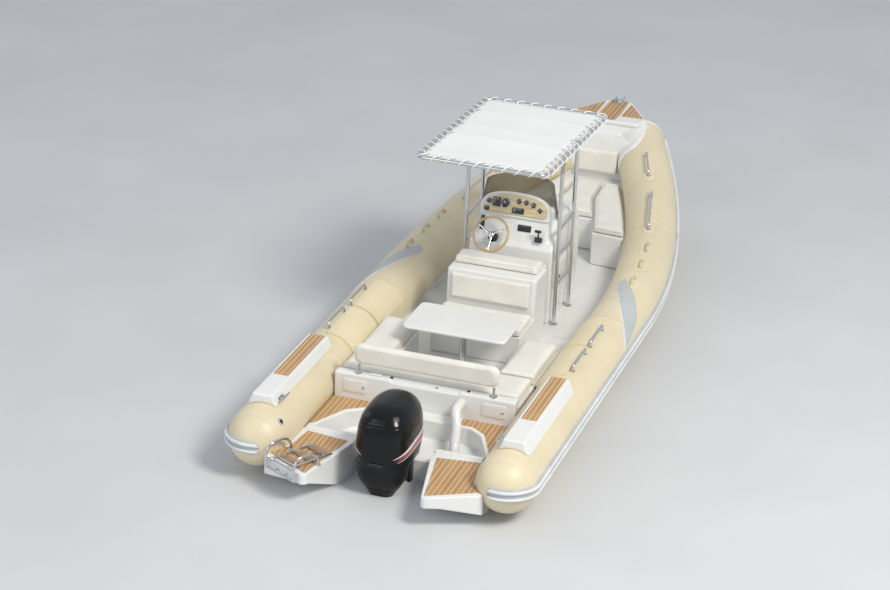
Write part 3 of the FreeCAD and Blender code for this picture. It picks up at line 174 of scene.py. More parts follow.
def rings(rows, wrap_rows=False):
    """A surface through closed rings of equally many points, as points and faces."""
    rows = np.asarray(rows, float)
    return rows.reshape(-1, 3), grid_faces(*rows.shape[:2], wrap_rows=wrap_rows, wrap_columns=True)


def capped(rows):
    """The same rings, with each open end closed by its middle."""
    first, last = (end.mean(1, keepdims=True).repeat(rows.shape[1], 1) for end in (rows[:1], rows[-1:]))
    return np.concatenate([first, rows, last])


def cord_surface(path, radius, sides):
    """A round surface about a closed path: at each point a circle in the plane of two directions
    that are square to the path's heading."""
    heading = unit(np.roll(path, -1, 0) - np.roll(path, 1, 0))
    beside = unit(np.cross(heading, (0.0, 0.0, 1.0)))
    above = np.cross(beside, heading)
    turn = around(sides)[:, None]
    circle = (np.cos(turn) * beside[:, None] + np.sin(turn) * above[:, None]) * radius
    return rings(path[:, None] + circle, wrap_rows=True)


def lathe(profile, centre, axis, sides, ring=False):
    """A profile of (radius, height) rows turned about an axis through a centre. A ring's profile
    is closed."""
    profile = np.asarray(profile, float)[:, :, None, None]
    axis = unit(np.asarray(axis, float))
    beside = unit(np.cross(axis, (0.0, 0.0, 1.0) if abs(axis[2]) < 0.9 else (0.0, 1.0, 0.0)))
    other = np.cross(axis, beside)
    turn = around(sides)[:, None]
    circle = np.cos(turn) * beside + np.sin(turn) * other
    return rings(np.asarray(centre, float) + profile[:, 1] * axis + profile[:, 0] * circle, wrap_rows=ring)


def rounded_line(corners, bend, closed=False, steps=6):
    """Straight runs between corners, each corner a run of points on a tangent arc."""
    corners = [np.asarray(corner, float) for corner in corners]
    count = len(corners)
    share = np.linspace(0, 1, steps)[:, None]
    line = [] if closed else [corners[0][None]]
    for index in range(count) if closed else range(1, count - 1):
        before, corner, after = corners[index - 1], corners[index], corners[(index + 1) % count]
        inward, onward = unit(before - corner), unit(after - corner)
        half = math.acos(float(np.clip(inward @ onward, -1, 1))) / 2
        back = bend / math.tan(half)
        middle = corner + unit(inward + onward) * bend / math.sin(half)
        start = corner + inward * back - middle
        end = corner + onward * back - middle
        sweep = math.pi - 2 * half
        line.append(middle + (np.sin((1 - share) * sweep) * start + np.sin(share * sweep) * end)
                    / math.sin(sweep))
    if not closed:
        line.append(corners[-1][None])
    return np.concatenate(line)


def evenly(path, spacing):
    """A closed line with points at an even spacing."""
    path = np.concatenate([path, path[:1]])
    reach = np.concatenate([[0], np.cumsum(np.linalg.norm(np.diff(path, axis=0), axis=1))])
    count = max(4, int(round(reach[-1] / spacing)))
    wanted = np.linspace(0, reach[-1], count + 1)[:count]
    return np.stack([np.interp(wanted, reach, path[:, axis]) for axis in range(3)], axis=1)


def round_rectangle(width, height, corner, steps, spacing):
    """Points round a rectangle with round corners, about its middle."""
    x, y = width / 2, height / 2
    line = rounded_line([(-x, -y, 0), (x, -y, 0), (x, y, 0), (-x, y, 0)], corner, True, steps)
    return evenly(line, spacing)[:, :2]


def plate(place, axes, size, rows, corner, steps, spacing):
    """A plate with round corners about a place; the axes run across, up and out. A row is a
    ring: its share of the outline, its inset and how far out it lies."""
    across, up, out = (np.asarray(axis, float) for axis in axes)
    outline = round_rectangle(*size, corner, steps, spacing)
    grid = []
    for share, inset, level in rows:
        ring = outline * share * (1 - inset / (np.array(size) / 2))
        grid.append(np.asarray(place) + ring[:, :1] * across + ring[:, 1:] * up + level * out)
    return rings(grid)


def soft_rim(low, high, rim):
    """The rows of a plate whose outer edge is eased by a rim."""
    return ((0, 0, low), (1, 0, low), (1, 0, high - rim), (1, 0.3 * rim, high - 0.3 * rim),
            (1, rim, high), (0.5, rim, high), (0, rim, high))


# ---- materials ----

def new_finish(name, colour, roughness, metallic=0.0, coat=0.0, sheen=0.0, ior=1.5):
    """An empty finish with its plain values set on the shader itself."""
    finish = bpy.data.materials.new(name)
    finish.use_nodes = True
    shader = finish.node_tree.nodes["Principled BSDF"]
    for socket, value in (("Base Color", (*colour, 1)), ("Roughness", roughness), ("Metallic", metallic),
                          ("Coat Weight", coat), ("Coat Roughness", 0.05), ("Sheen Weight", sheen),
                          ("IOR", ior)):
        shader.inputs[socket].default_value = value
    return finish, finish.node_tree, shader


def feed(tree, value, socket):
    """Links a value into a socket, or sets it there if it is a constant."""
    if isinstance(value, bpy.types.NodeSocket):
        tree.links.new(value, socket)
    else:
        socket.default_value = (*value, 1) if isinstance(value, tuple) else value


def maths(tree, operation, *values):
    made = tree.nodes.new("ShaderNodeMath")
    made.operation = operation
    for socket, value in zip(made.inputs, values):
        feed(tree, value, socket)
    return made.outputs[0]


def place_of(tree, source="Object", scale=(1, 1, 1)):
    """Object or UV coordinates through a Mapping node."""
    coordinate = tree.nodes.new("ShaderNodeTexCoord")
    mapping = tree.nodes.new("ShaderNodeMapping")
    mapping.inputs["Scale"].default_value = scale
    tree.links.new(coordinate.outputs[source], mapping.inputs["Vector"])
    return mapping.outputs["Vector"]


def separated(tree, place):
    """The three coordinates of a place."""
    made = tree.nodes.new("ShaderNodeSeparateXYZ")
    tree.links.new(place, made.inputs[0])
    return made.outputs


def noise(tree, place, scale, detail=3.0, roughness=0.5):
    made = tree.nodes.new("ShaderNodeTexNoise")
    for socket, value in (("Scale", scale), ("Detail", detail), ("Roughness", roughness)):
        made.inputs[socket].default_value = value
    tree.links.new(place, made.inputs["Vector"])
    return made.outputs["Fac"]


def ramp(tree, value, low, high, colour_low, colour_high):
    """One colour below a value and another above it, blended between."""
    made = tree.nodes.new("ShaderNodeValToRGB")
    ends = zip(made.color_ramp.elements, (low, high), (colour_low, colour_high))
    for element, position, colour in ends:
        element.position = position
        element.color = (*colour, 1)
    tree.links.new(value, made.inputs["Fac"])
    return made.outputs["Color"]


def mixed(tree, share, first, second):
    made = tree.nodes.new("ShaderNodeMix")
    made.data_type = "RGBA"
    for socket, value in ((0, share), (6, first), (7, second)):
        feed(tree, value, made.inputs[socket])
    return made.outputs[2]


def bumped(tree, shader, height, strength, distance):
    made = tree.nodes.new("ShaderNodeBump")
    made.inputs["Strength"].default_value = strength
    made.inputs["Distance"].default_value = distance
    tree.links.new(height, made.inputs["Height"])
    tree.links.new(made.outputs["Normal"], shader.inputs["Normal"])


def shade(colour, factor):
    return tuple(channel * factor for channel in colour)


def rough_between(tree, shader, value, low, high):
    made = tree.nodes.new("ShaderNodeMapRange")
    made.inputs["To Min"].default_value = low
    made.inputs["To Max"].default_value = high
    tree.links.new(value, made.inputs["Value"])
    tree.links.new(made.outputs["Result"], shader.inputs["Roughness"])


def drift(tree, shader, colour, cloud, gloss=None, high=0.75):
    """Tone and gloss that drift with noise: cloud is a scale and two shades of the colour, gloss a
    scale and two roughnesses. Returns the place and the tone."""
    place = place_of(tree)
    darker, lighter = (shade(colour, factor) for factor in cloud[1:])
    tone = ramp(tree, noise(tree, place, cloud[0], 4), 0.3, high, darker, lighter)
    tree.links.new(tone, shader.inputs["Base Color"])
    if gloss:
        rough_between(tree, shader, noise(tree, place, gloss[0], 3), *gloss[1:])
    return place, tone


def coated_fabric(name, colour, seams=True):
    """Coated tube fabric: faint cloudy colour, fine weave in the coating, glued seams every
    1.05 m along the tube that the UV map's first coordinate counts. Each seam is a raised lap in
    the bump with a thin line of painted shade along its forward edge."""
    finish, tree, shader = new_finish(name, colour, 0.42, sheen=0.05)
    place, tone = drift(tree, shader, colour, (2.2, 0.93, 1.04), (9, 0.34, 0.5), 0.72)
    height = maths(tree, "MULTIPLY", noise(tree, place, 420, 2), 0.3)
    if seams:
        run = separated(tree, place_of(tree, "UV"))[0]
        share = maths(tree, "FRACT", maths(tree, "DIVIDE", run, 1.05))
        line, lap = (maths(tree, "LESS_THAN", maths(tree, "ABSOLUTE", maths(tree, "SUBTRACT", share, middle)),
                           half) for middle, half in ((0.5, 0.0025), (0.482, 0.018)))
        # painted shade: a thin darker line along the forward edge of each seam's raised lap
        tone = mixed(tree, maths(tree, "MULTIPLY", line, 0.35), tone, shade(colour, 0.6))
        height = maths(tree, "ADD", height, maths(tree, "MULTIPLY", lap, 2.2))
        tree.links.new(tone, shader.inputs["Base Color"])
    bumped(tree, shader, height, 0.35, 0.0006)
    return finish


def gelcoat(name, colour, grip=0.0):
    """Glossy moulded gelcoat with a faint waviness, or a fine non-slip stipple."""
    finish, tree, shader = new_finish(name, colour, 0.22, coat=0.35)
    place, _ = drift(tree, shader, colour, (3.0, 0.955, 1), (14, 0.16 + 0.3 * grip, 0.3 + 0.35 * grip))
    scale, strength, distance = (520, 0.5, 0.0006) if grip else (7, 0.12, 0.004)
    bumped(tree, shader, noise(tree, place, scale, 2), strength, distance)
    return finish


def teak_boards(name):
    """Teak boards that run fore and aft: a tone for each board, grain drawn out along it, and
    light caulking in the seams."""
    colour, board, seam = (0.50, 0.285, 0.115), 0.046, 0.0045
    finish, tree, shader = new_finish(name, colour, 0.55)
    count = maths(tree, "DIVIDE", separated(tree, place_of(tree))[1], board)
    edge = maths(tree, "ABSOLUTE", maths(tree, "SUBTRACT", maths(tree, "FRACT", count), 0.5))
    caulk = maths(tree, "GREATER_THAN", edge, 0.5 - seam / board / 2)
    scatter = tree.nodes.new("ShaderNodeTexWhiteNoise")
    scatter.noise_dimensions = "1D"
    tree.links.new(maths(tree, "FLOOR", count), scatter.inputs["W"])
    tone = ramp(tree, scatter.outputs["Value"], 0.0, 1.0, shade(colour, 0.84), shade(colour, 1.16))
    grain = noise(tree, place_of(tree, "Object", (3.5, 110, 30)), 1.0, 5, 0.6)
    tone = mixed(tree, 0.42, tone, ramp(tree, grain, 0.35, 0.7, shade(colour, 0.62), shade(colour, 1.3)))
    tree.links.new(mixed(tree, caulk, tone, (0.80, 0.72, 0.58)), shader.inputs["Base Color"])
    raised, sunk = (maths(tree, "MULTIPLY", value, share) for value, share in ((grain, 0.25), (caulk, 0.8)))
    bumped(tree, shader, maths(tree, "SUBTRACT", raised, sunk), 0.5, 0.0008)
    return finish


def marine_vinyl(name, colour):
    """Ivory marine vinyl: fine leather grain, soft sheen and a little tonal drift."""
    finish, tree, shader = new_finish(name, colour, 0.5, sheen=0.12)
    place, _ = drift(tree, shader, colour, (5, 0.93, 1.03), (12, 0.4, 0.58))
    grain = tree.nodes.new("ShaderNodeTexVoronoi")
    grain.inputs["Scale"].default_value = 420
    tree.links.new(place, grain.inputs["Vector"])
    bumped(tree, shader, grain.outputs["Distance"], 0.3, 0.0005)
    return finish


def woven_cloth(name, colour):
    """Plain woven awning cloth: two crossed sets of threads in the bump."""
    finish, tree, shader = new_finish(name, colour, 0.82, sheen=0.2)
    place, _ = drift(tree, shader, colour, (2.5, 0.95, 1))
    threads = []
    for direction in ("X", "Y"):
        wave = tree.nodes.new("ShaderNodeTexWave")
        wave.bands_direction = direction
        wave.inputs["Scale"].default_value = 180
        tree.links.new(place, wave.inputs["Vector"])
        threads.append(wave.outputs["Fac"])
    bumped(tree, shader, maths(tree, "MAXIMUM", *threads), 0.25, 0.0006)
    return finish


def polished_steel(name, colour, roughness):
    """Polished stainless steel with faint wiping marks."""
    finish, tree, shader = new_finish(name, colour, roughness, metallic=1.0)
    marks = noise(tree, place_of(tree, "Object", (60, 60, 6)), 1.0, 4)
    rough_between(tree, shader, marks, roughness * 0.6, roughness * 1.7)
    bumped(tree, shader, noise(tree, place_of(tree), 90, 2), 0.05, 0.0004)
    return finish


def enamel(name, colour, roughness=0.3, coat=0.5, fleck=0.06, ior=1.5):
    """Enamel: a clear coat over colour with fine dust and swirl."""
    finish, tree, shader = new_finish(name, colour, roughness, coat=coat, ior=ior)
    place = place_of(tree)
    lift = tuple(min(1.0, channel + fleck) for channel in colour)
    tree.links.new(ramp(tree, noise(tree, place, 30, 5, 0.6), 0.5, 0.95, colour, lift),
                   shader.inputs["Base Color"])
    rough_between(tree, shader, noise(tree, place, 11, 4), roughness * 0.75, roughness * 1.3)
    bumped(tree, shader, noise(tree, place, 240, 2), 0.06, 0.0004)
    return finish


def moulded(name, colour, roughness=0.5, grain=300):
    """Moulded rubber or plastic with a fine texture."""
    finish, tree, shader = new_finish(name, colour, roughness)
    gloss = (18, roughness * 0.85, min(1.0, roughness * 1.15))
    place, _ = drift(tree, shader, colour, (6, 0.88, 1.06), gloss)
    bumped(tree, shader, noise(tree, place, grain, 2), 0.25, 0.0005)
    return finish


def varnished_wood(name, colour):
    """Varnished wood: long grain under a clear coat."""
    finish, tree, shader = new_finish(name, colour, 0.28, coat=0.8)
    grain = noise(tree, place_of(tree, "Object", (14, 3, 60)), 1.6, 6, 0.62)
    tree.links.new(ramp(tree, grain, 0.32, 0.72, shade(colour, 0.66), shade(colour, 1.25)),
                   shader.inputs["Base Color"])
    bumped(tree, shader, grain, 0.06, 0.0005)
    return finish


def smoked_acrylic(name, colour):
    """Smoked acrylic sheet: clear gloss with a brown-grey tint."""
    finish, tree, shader = new_finish(name, colour, 0.06, coat=0.3, ior=1.49)
    shader.inputs["Transmission Weight"].default_value = 0.8
    place = place_of(tree)
    rough_between(tree, shader, noise(tree, place, 8, 4), 0.03, 0.1)
    bumped(tree, shader, noise(tree, place, 5, 2), 0.04, 0.002)
    return finish


finishes = {name: maker(name, *values) for name, maker, *values in (
    ("tube_fabric", coated_fabric, (0.75, 0.655, 0.45)),
    ("bolster_fabric", coated_fabric, (0.79, 0.69, 0.46), False),
    ("pale_band", coated_fabric, (0.50, 0.53, 0.53), False),
    ("strake_rubber", moulded, (0.50, 0.53, 0.54), 0.45),
    ("stripe_rubber", moulded, (0.76, 0.77, 0.76), 0.4),
    ("handle_fabric", moulded, (0.62, 0.56, 0.40), 0.5),
    ("gelcoat", gelcoat, (0.83, 0.83, 0.81)),
    ("deck_gelcoat", gelcoat, (0.78, 0.78, 0.75), 1.0),
    ("teak", teak_boards),
    ("ladder_teak", varnished_wood, (0.36, 0.20, 0.09)),
    ("upholstery", marine_vinyl, (0.82, 0.80, 0.73)),
    ("piping", marine_vinyl, (0.73, 0.71, 0.64)),
    ("canopy_fabric", woven_cloth, (0.87, 0.87, 0.86)),
    ("canopy_hem", woven_cloth, (0.80, 0.80, 0.79)),
    ("lace_white", moulded, (0.89, 0.89, 0.87), 0.6, 700),
    ("stainless", polished_steel, (0.66, 0.67, 0.69), 0.13),
    ("dash_tan", varnished_wood, (0.62, 0.50, 0.27)),
    ("instrument_black", enamel, (0.012, 0.012, 0.014), 0.12, 0.6, 0.01),
    ("display_glass", enamel, (0.010, 0.013, 0.018), 0.05, 1.0, 0.004),
    ("dial_white", moulded, (0.80, 0.80, 0.78), 0.35),
    ("wheel_rim", varnished_wood, (0.60, 0.42, 0.20)),
    ("control_black", moulded, (0.022, 0.022, 0.024), 0.42),
    ("smoked_screen", smoked_acrylic, (0.36, 0.35, 0.30)),
    ("engine_paint", enamel, (0.006, 0.006, 0.007), 0.30, 0.10, 0.006, 1.33),
    ("cowl_gloss", enamel, (0.004, 0.004, 0.005), 0.20, 0.15, 0.004, 1.33),
    ("cast_engine", moulded, (0.13, 0.13, 0.14), 0.5),
    ("propeller_paint", enamel, (0.02, 0.02, 0.022), 0.3, 0.3, 0.02),
    ("hose_white", moulded, (0.78, 0.78, 0.76), 0.38),
    ("stripe_silver", enamel, (0.62, 0.63, 0.65), 0.25, 0.6, 0.02),
    ("stripe_red", enamel, (0.42, 0.03, 0.025), 0.25, 0.6, 0.01),
)}
slots = {entry["node"]: entry["material_slot"] for entry in frame["record"]["subparts"]}
for name, item in nodes.items():
    item.data.materials.clear()
    item.data.materials.append(finishes[slots[name]])


# ---- air tubes ----

def tube_line(along, side):
    """Centres, headings, outboard and upward directions of a tube at places along the boat. The
    bend is an arc of BEND_RADIUS in a plane that leans BEND_TILT from level."""
    reach = np.clip(np.asarray(along, float) - BEND_START, 0, None)
    turn = np.arcsin(np.clip(reach / BEND_RADIUS, 0, 1))
    leave = BEND_RADIUS * (1 - np.cos(turn))
    centre = np.stack([np.asarray(along, float), side * (TUBE_HALF - leave * math.cos(BEND_TILT)),
                       TUBE_HEIGHT + leave * math.sin(BEND_TILT)], axis=-1)
    heading = np.stack([np.cos(turn), -side * np.sin(turn) * math.cos(BEND_TILT),
                        np.sin(turn) * math.sin(BEND_TILT)], axis=-1)
    outboard = unit(-side * np.cross(heading, (0.0, 0.0, 1.0)))
    above = unit(-side * np.cross(outboard, heading))
    return centre, heading, outboard, above


def tube_skin(along, angle, side, out=0.0):
    """Points on a tube's skin, or standing out from it. Angle 0 is outboard and a quarter turn is
    up."""
    centre, _, outboard, above = tube_line(along, side)
    angle = np.asarray(angle, float)[..., None]
    reach = TUBE_RADIUS + np.asarray(out)[..., None]
    return centre + (np.cos(angle) * outboard + np.sin(angle) * above) * reach


NOSE_END = BEND_START + BEND_RADIUS * math.sin(BEND_ANGLE)


def air_tube(word, side):
    """A tube: circles along its line, a round dome at the stern and a flat end that the bow
    moulding covers. The UV map holds metres along the boat and metres round the tube from its
    outboard line."""
    sides = 72
    dome = np.linspace(0.02, math.pi / 2, 18)[:-1]
    along = np.concatenate([TUBE_STERN - TUBE_RADIUS * np.cos(dome),
                            np.linspace(TUBE_STERN, BEND_START, 24)[:-1],
                            np.linspace(BEND_START, NOSE_END, 70)])
    radius = np.concatenate([TUBE_RADIUS * np.sin(dome), np.full(len(along) - len(dome), TUBE_RADIUS)])
    centre, _, outboard, above = tube_line(along, side)
    turn = around(sides)[:, None]
    circle = np.cos(turn) * outboard[:, None] + np.sin(turn) * above[:, None]
    points = centre[:, None] + circle * radius[:, None, None]
    points = np.concatenate([centre[:1, None].repeat(sides, 1), points, centre[-1:, None].repeat(sides, 1)])
    points[0, :, 0] = TUBE_STERN - TUBE_RADIUS
    piece = make_piece("tube_" + word + "_fabric", rings(points), "tube_fabric")
    mesh = piece.data
    corner = np.zeros(len(mesh.loops), int)
    mesh.loops.foreach_get("vertex_index", corner)
    place = coordinates(mesh)
    centre, _, outboard, above = tube_line(place[:, 0], side)
    away = place - centre
    round_way = np.arctan2((away * above).sum(1), (away * outboard).sum(1)) * TUBE_RADIUS
    layer = mesh.uv_layers.new(name="run")
    layer.data.foreach_set("uv", np.stack([place[:, 0], round_way], 1)[corner].ravel())
    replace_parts(piece, "tube_" + word)


def rubbing_strake(word, side):
    """The strake's cross section (out from the skin, up) carried along the tube and round the
    stern dome. Its two ridges are round and pale, and stand on a flat grey base."""
    half_ridge = 0.019
    ridge = np.linspace(0, math.pi, 9)
    rows = [(-0.008, -0.0595), (0.004, -0.060), (0.011, -0.0585)]
    for middle in (-0.032, 0.032):
        rows += [(0.013, middle - half_ridge)]
        rows += [(0.013 + 0.0205 * math.sin(a) ** 0.8, middle - 0.016 * math.cos(a)) for a in ridge]
        rows += [(0.013, middle + half_ridge)]
    rows += [(0.011, 0.0585), (0.004, 0.060), (-0.008, 0.0595)]
    out, height = np.array(rows).T
    wrap = np.radians(np.linspace(112, 0, 40))[:-1]
    taper = np.sqrt(np.clip(1 - np.clip(1 - (wrap[0] - wrap) / 0.16, 0, 1) ** 2, 0.01, 1))[:, None]
    level = height * taper
    reach = np.sqrt(TUBE_RADIUS ** 2 - level ** 2) + out * taper
    wrap = wrap[:, None]
    stern = np.stack([TUBE_STERN - np.sin(wrap) * reach, side * (TUBE_HALF + np.cos(wrap) * reach),
                      TUBE_HEIGHT + level], axis=-1)
    along = np.concatenate([np.linspace(TUBE_STERN, BEND_START, 12)[:-1],
                            np.linspace(BEND_START, NOSE_END, 60)])
    centre, _, outboard, above = (part[:, None] for part in tube_line(along, side))
    reach = (np.sqrt(TUBE_RADIUS ** 2 - height ** 2) + out)[:, None]
    run = centre + outboard * reach + above * height[:, None]
    piece = make_piece("rubbing_strake_" + word, rings(capped(np.concatenate([stern, run]))), "strake_rubber")
    piece.data.materials.append(finishes["stripe_rubber"])
    place = np.zeros(len(piece.data.polygons) * 3)
    piece.data.polygons.foreach_get("center", place)
    place = place.reshape(-1, 3)
    line = tube_line(np.clip(place[:, 0], TUBE_STERN, None), side)[0]
    stands = np.linalg.norm(place - line, axis=1) > TUBE_RADIUS + 0.0235
    piece.data.polygons.foreach_set("material_index", stands.astype(int))
    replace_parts(piece, "rubbing_strakes")


for word, side in SIDES:
    air_tube(word, side)
    rubbing_strake(word, side)


# ---- cushions ----

def cad_copy(node_name):
    """A merged copy of a CAD node's mesh."""
    return cleaned(nodes[node_name].data.copy())


def rim_loop(mesh, top):
    """The line round a cushion's flat upper or lower face, in order."""
    shape = bmesh.new()
    shape.from_mesh(mesh)
    shape.normal_update()
    heights = [vertex.co.z for vertex in shape.verts]
    level, wanted = (max(heights), 1) if top else (min(heights), -1)

    def lies_flat(face):
        return wanted * face.normal.z > 0.999 and abs(face.calc_center_median().z - level) < 1e-4
    rim = {}
    for edge in shape.edges:
        if len(edge.link_faces) == 2 and lies_flat(edge.link_faces[0]) != lies_flat(edge.link_faces[1]):
            first, second = edge.verts
            rim.setdefault(first.index, []).append(second.index)
            rim.setdefault(second.index, []).append(first.index)
    places = {vertex.index: np.array(vertex.co) for vertex in shape.verts}
    shape.free()
    start = here = next(iter(rim))
    before, loop = None, []
    while True:
        loop.append(places[here])
        onward = [other for other in rim[here] if other != before]
        before, here = here, onward[0]
        if here == start or len(loop) > len(rim):
            break
    return np.array(loop)


def swell(piece, cell, cap, rounds):
    """Fills a cushion like a bag: cloth under pressure, each point's move held to a cap."""
    even_grid(piece, cell, rounds)
    mesh, old = bpy.data.meshes.new_from_object(evaluated(piece)), piece.data
    piece.modifiers.clear()
    mesh.materials.clear()
    mesh.materials.append(old.materials[0])
    piece.data = mesh
    bpy.data.meshes.remove(old)
    start = coordinates(mesh)
    settings = add_modifier(piece, "CLOTH").settings
    settings.use_pressure = True
    settings.uniform_pressure_force = 4.0
    settings.effector_weights.gravity = 0
    settings.quality = 4
    settings.tension_stiffness = 12
    settings.compression_stiffness = 12
    for step in range(1, 13):
        scene.frame_set(step)
    moved = coordinates(evaluated(piece).data)
    piece.modifiers.clear()
    scene.frame_set(1)
    move = moved - start
    length = np.linalg.norm(move, axis=1, keepdims=True)
    return start + move * np.minimum(1, cap / np.maximum(length, 1e-9))


def bolster_form(low, high):
    """The stern backrest's bag: a rounded rectangle seen from astern, as rings drawn in towards
    its middle line while the thickness rises as a superellipse."""
    low, high = np.array(low, float), np.array(high, float)
    middle, half = (low + high) / 2, (high - low) / 2
    outline = round_rectangle(*(2 * half[1:]), min(0.085, 0.9 * half[2]), 10, 0.012)
    rows = []
    for turn in np.linspace(-math.pi / 2, math.pi / 2, 15):
        ring = middle[1:] + outline * (1 - half[0] * (1 - abs(math.cos(turn)) ** 0.6) / half[1:])
        deep = half[0] * np.sign(math.sin(turn)) * abs(math.sin(turn)) ** 0.6
        rows.append(np.insert(ring, 0, middle[0] + deep, axis=1))
    first, last = (row * (1, 0, 0) + middle * (0, 1, 1) for row in (rows[0], rows[-1]))
    return cleaned(new_mesh("bolster_form", *rings([first, *rows, last])), outward=True)


def cushion(node_name, cap, cell, lies, shrink, fill, rounds):
    """A padded piece in its CAD solid's place. One that lies on a flat underside has a piped seam
    round its upper and its lower edge."""
    mesh = cad_copy(node_name)
    loops = [(rim_loop(mesh, True), -0.008), (rim_loop(mesh, False), 0.012)] if lies else []
    low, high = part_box(node_name)
    if node_name == "stern_backrest":
        mesh = bolster_form(low, high)
    middle = np.array((low + high) / 2)
    place = middle + (coordinates(mesh) - middle) * (1 - 2 * shrink / np.array(high - low))
    mesh.vertices.foreach_set("co", place.ravel())
    piece = new_object(node_name + "_padded", mesh, "upholstery")
    moved = swell(piece, cell, cap, rounds)
    spill = 0.004
    moved = np.clip(moved, np.array(low) - (spill, spill, 0), np.array(high) + (spill, spill, 0.012))
    if lies:
        moved[:, 2] = np.maximum(moved[:, 2], low.z + 0.0005)
    piece.data.vertices.foreach_set("co", moved.ravel())
    piece.data.update()
    piece.data.polygons.foreach_set("use_smooth", np.full(len(piece.data.polygons), True))
    tree = BVHTree.FromPolygons(moved.tolist(), [list(face.vertices) for face in piece.data.polygons])
    add_modifier(piece, "SUBSURF", levels=1, render_levels=1)
    settle(piece, "boat")
    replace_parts(piece, node_name)
    beads = []
    for loop, rise in loops:
        path = evenly(loop, 0.012)
        outward = (path - path.mean(0)) * (1, 1, 0)
        path = path + unit(outward) * 0.016 + (0, 0, rise)
        path = np.array([tree.find_nearest(Vector(point))[0] for point in path])
        for _ in range(2):
            path = (np.roll(path, 1, 0) + path * 2 + np.roll(path, -1, 0)) / 4
        beads.append(cord_surface(path, 0.0042, 7))
    if beads:
        make_piece(node_name + "_piping", joined(beads), slots[node_name], "piping")


CUSHIONS = (
    # node, cap, cell, lies on its underside, shrink, fill, rounds of easing
    ("bow_cushion_port", 0.012, 0.014, True, 0.005, 0.7, 4),
    ("bow_cushion_stbd", 0.012, 0.014, True, 0.005, 0.7, 4),
    ("bow_cushion_centre", 0.012, 0.014, True, 0.005, 0.7, 4),
    ("dinette_cushion_aft", 0.013, 0.015, True, 0.005, 0.7, 4),
    ("dinette_cushion_port", 0.013, 0.013, True, 0.005, 0.7, 4),
    ("dinette_cushion_stbd", 0.013, 0.013, True, 0.005, 0.7, 4),
    ("forward_cushion", 0.013, 0.013, True, 0.005, 0.75, 4),
    ("helm_cushion", 0.012, 0.010, True, 0.005, 0.75, 5),
    ("stern_backrest", 0.010, 0.012, False, 0.004, 0.8, 4),
    ("bow_backrest", 0.008, 0.010, False, 0.004, 0.8, 12),
    ("helm_back_pad", 0.006, 0.010, False, 0.002, 0.8, 3),
)
for values in CUSHIONS:
    cushion(*values)


# ---- hull sides at the bow ----

SIDE_PLACES = np.linspace(5.76, 6.47, 36)
SIDE_LEVELS = np.linspace(0.130, 0.440, 32)
NO_HIT = -9.0


def hull_sections():
    """Half breadths of the hull's outer skin at places along it and heights: rays from abeam meet
    the hull, and a height at which they pass into a pocket lies on the straight line between
    the skin below and the skin above it."""
    mesh = nodes["hull"].data
    tree = BVHTree.FromPolygons([tuple(vertex.co) for vertex in mesh.vertices],
                                [tuple(face.vertices) for face in mesh.polygons])
    table = []
    for place in SIDE_PLACES:
        hits = [tree.ray_cast(Vector((place, 3, level)), Vector((0, -1, 0)))[0] for level in SIDE_LEVELS]
        met = np.array([hit.y if hit else NO_HIT for hit in hits])
        keep = [0]
        while keep[-1] < len(met) - 1:
            here, onward = keep[-1], slice(keep[-1] + 1, None)
            rise = (met[onward] - met[here]) / (SIDE_LEVELS[onward] - SIDE_LEVELS[here])
            keep.append(here + 1 + int(np.argmax(rise)))
        table.append(np.interp(SIDE_LEVELS, SIDE_LEVELS[keep], met[keep]))
    return np.array(table)


SIDE_TABLE = hull_sections()


def hull_side(along, level):
    """Half breadth of the hull's skin, bilinear in the table of its sections."""
    column, row = (np.clip((value - axis[0]) / (axis[1] - axis[0]), 0, len(axis) - 1.001)
                   for value, axis in ((along, SIDE_PLACES), (level, SIDE_LEVELS)))
    i, j = column.astype(int), row.astype(int)
    u, v = column - i, row - j
    return ((1 - u) * (1 - v) * SIDE_TABLE[i, j] + u * (1 - v) * SIDE_TABLE[i + 1, j]
            + (1 - u) * v * SIDE_TABLE[i, j + 1] + u * v * SIDE_TABLE[i + 1, j + 1])


def held_inside(mesh, gap=0.014):
    """Draws the points of a piece that stands in the hull's bow in behind the hull's skin."""
    place = coordinates(mesh)
    inside = hull_side(place[:, 0], place[:, 2]) - gap
    near = (place[:, 0] > SIDE_PLACES[0]) & (place[:, 2] < SIDE_LEVELS[-1])
    place[:, 1] = np.where(near, np.clip(place[:, 1], -inside, inside), place[:, 1])
    mesh.vertices.foreach_set("co", place.ravel())


def hull_side_skin(word, side):
    """The hull's side under the bow as one thin skin, on the sections' own breadths."""
    along, level = np.meshgrid(SIDE_PLACES, SIDE_LEVELS, indexing="ij")
    layers = [np.stack([along, side * (SIDE_TABLE + out), level], -1) for out in (0.0012, -0.0035)]
    make_piece("hull_side_" + word, (np.stack(layers), closed_patch(*along.shape)), "gelcoat")


def sole():
    """The cockpit sole, cut across near the bow, with its forward corners drawn in behind the
    hull's skin."""
    mesh = cad_copy("cockpit_sole")
    shape = bmesh.new()
    shape.from_mesh(mesh)
    for place in (5.8, 5.95, 6.1, 6.25):
        bmesh.ops.bisect_plane(shape, geom=shape.verts[:] + shape.edges[:] + shape.faces[:],
                               plane_co=(place, 0, 0), plane_no=(1, 0, 0))
    shape.to_mesh(mesh)
    shape.free()
    held_inside(mesh)
    cleaned(mesh, thin=True, outward=True)
    piece = settle(new_object("cockpit_sole_deck", mesh, "deck_gelcoat", flat=True), "boat")
    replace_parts(piece, "cockpit_sole")


for word, side in SIDES:
    hull_side_skin(word, side)
sole()


# ---- mouldings with soft edges ----

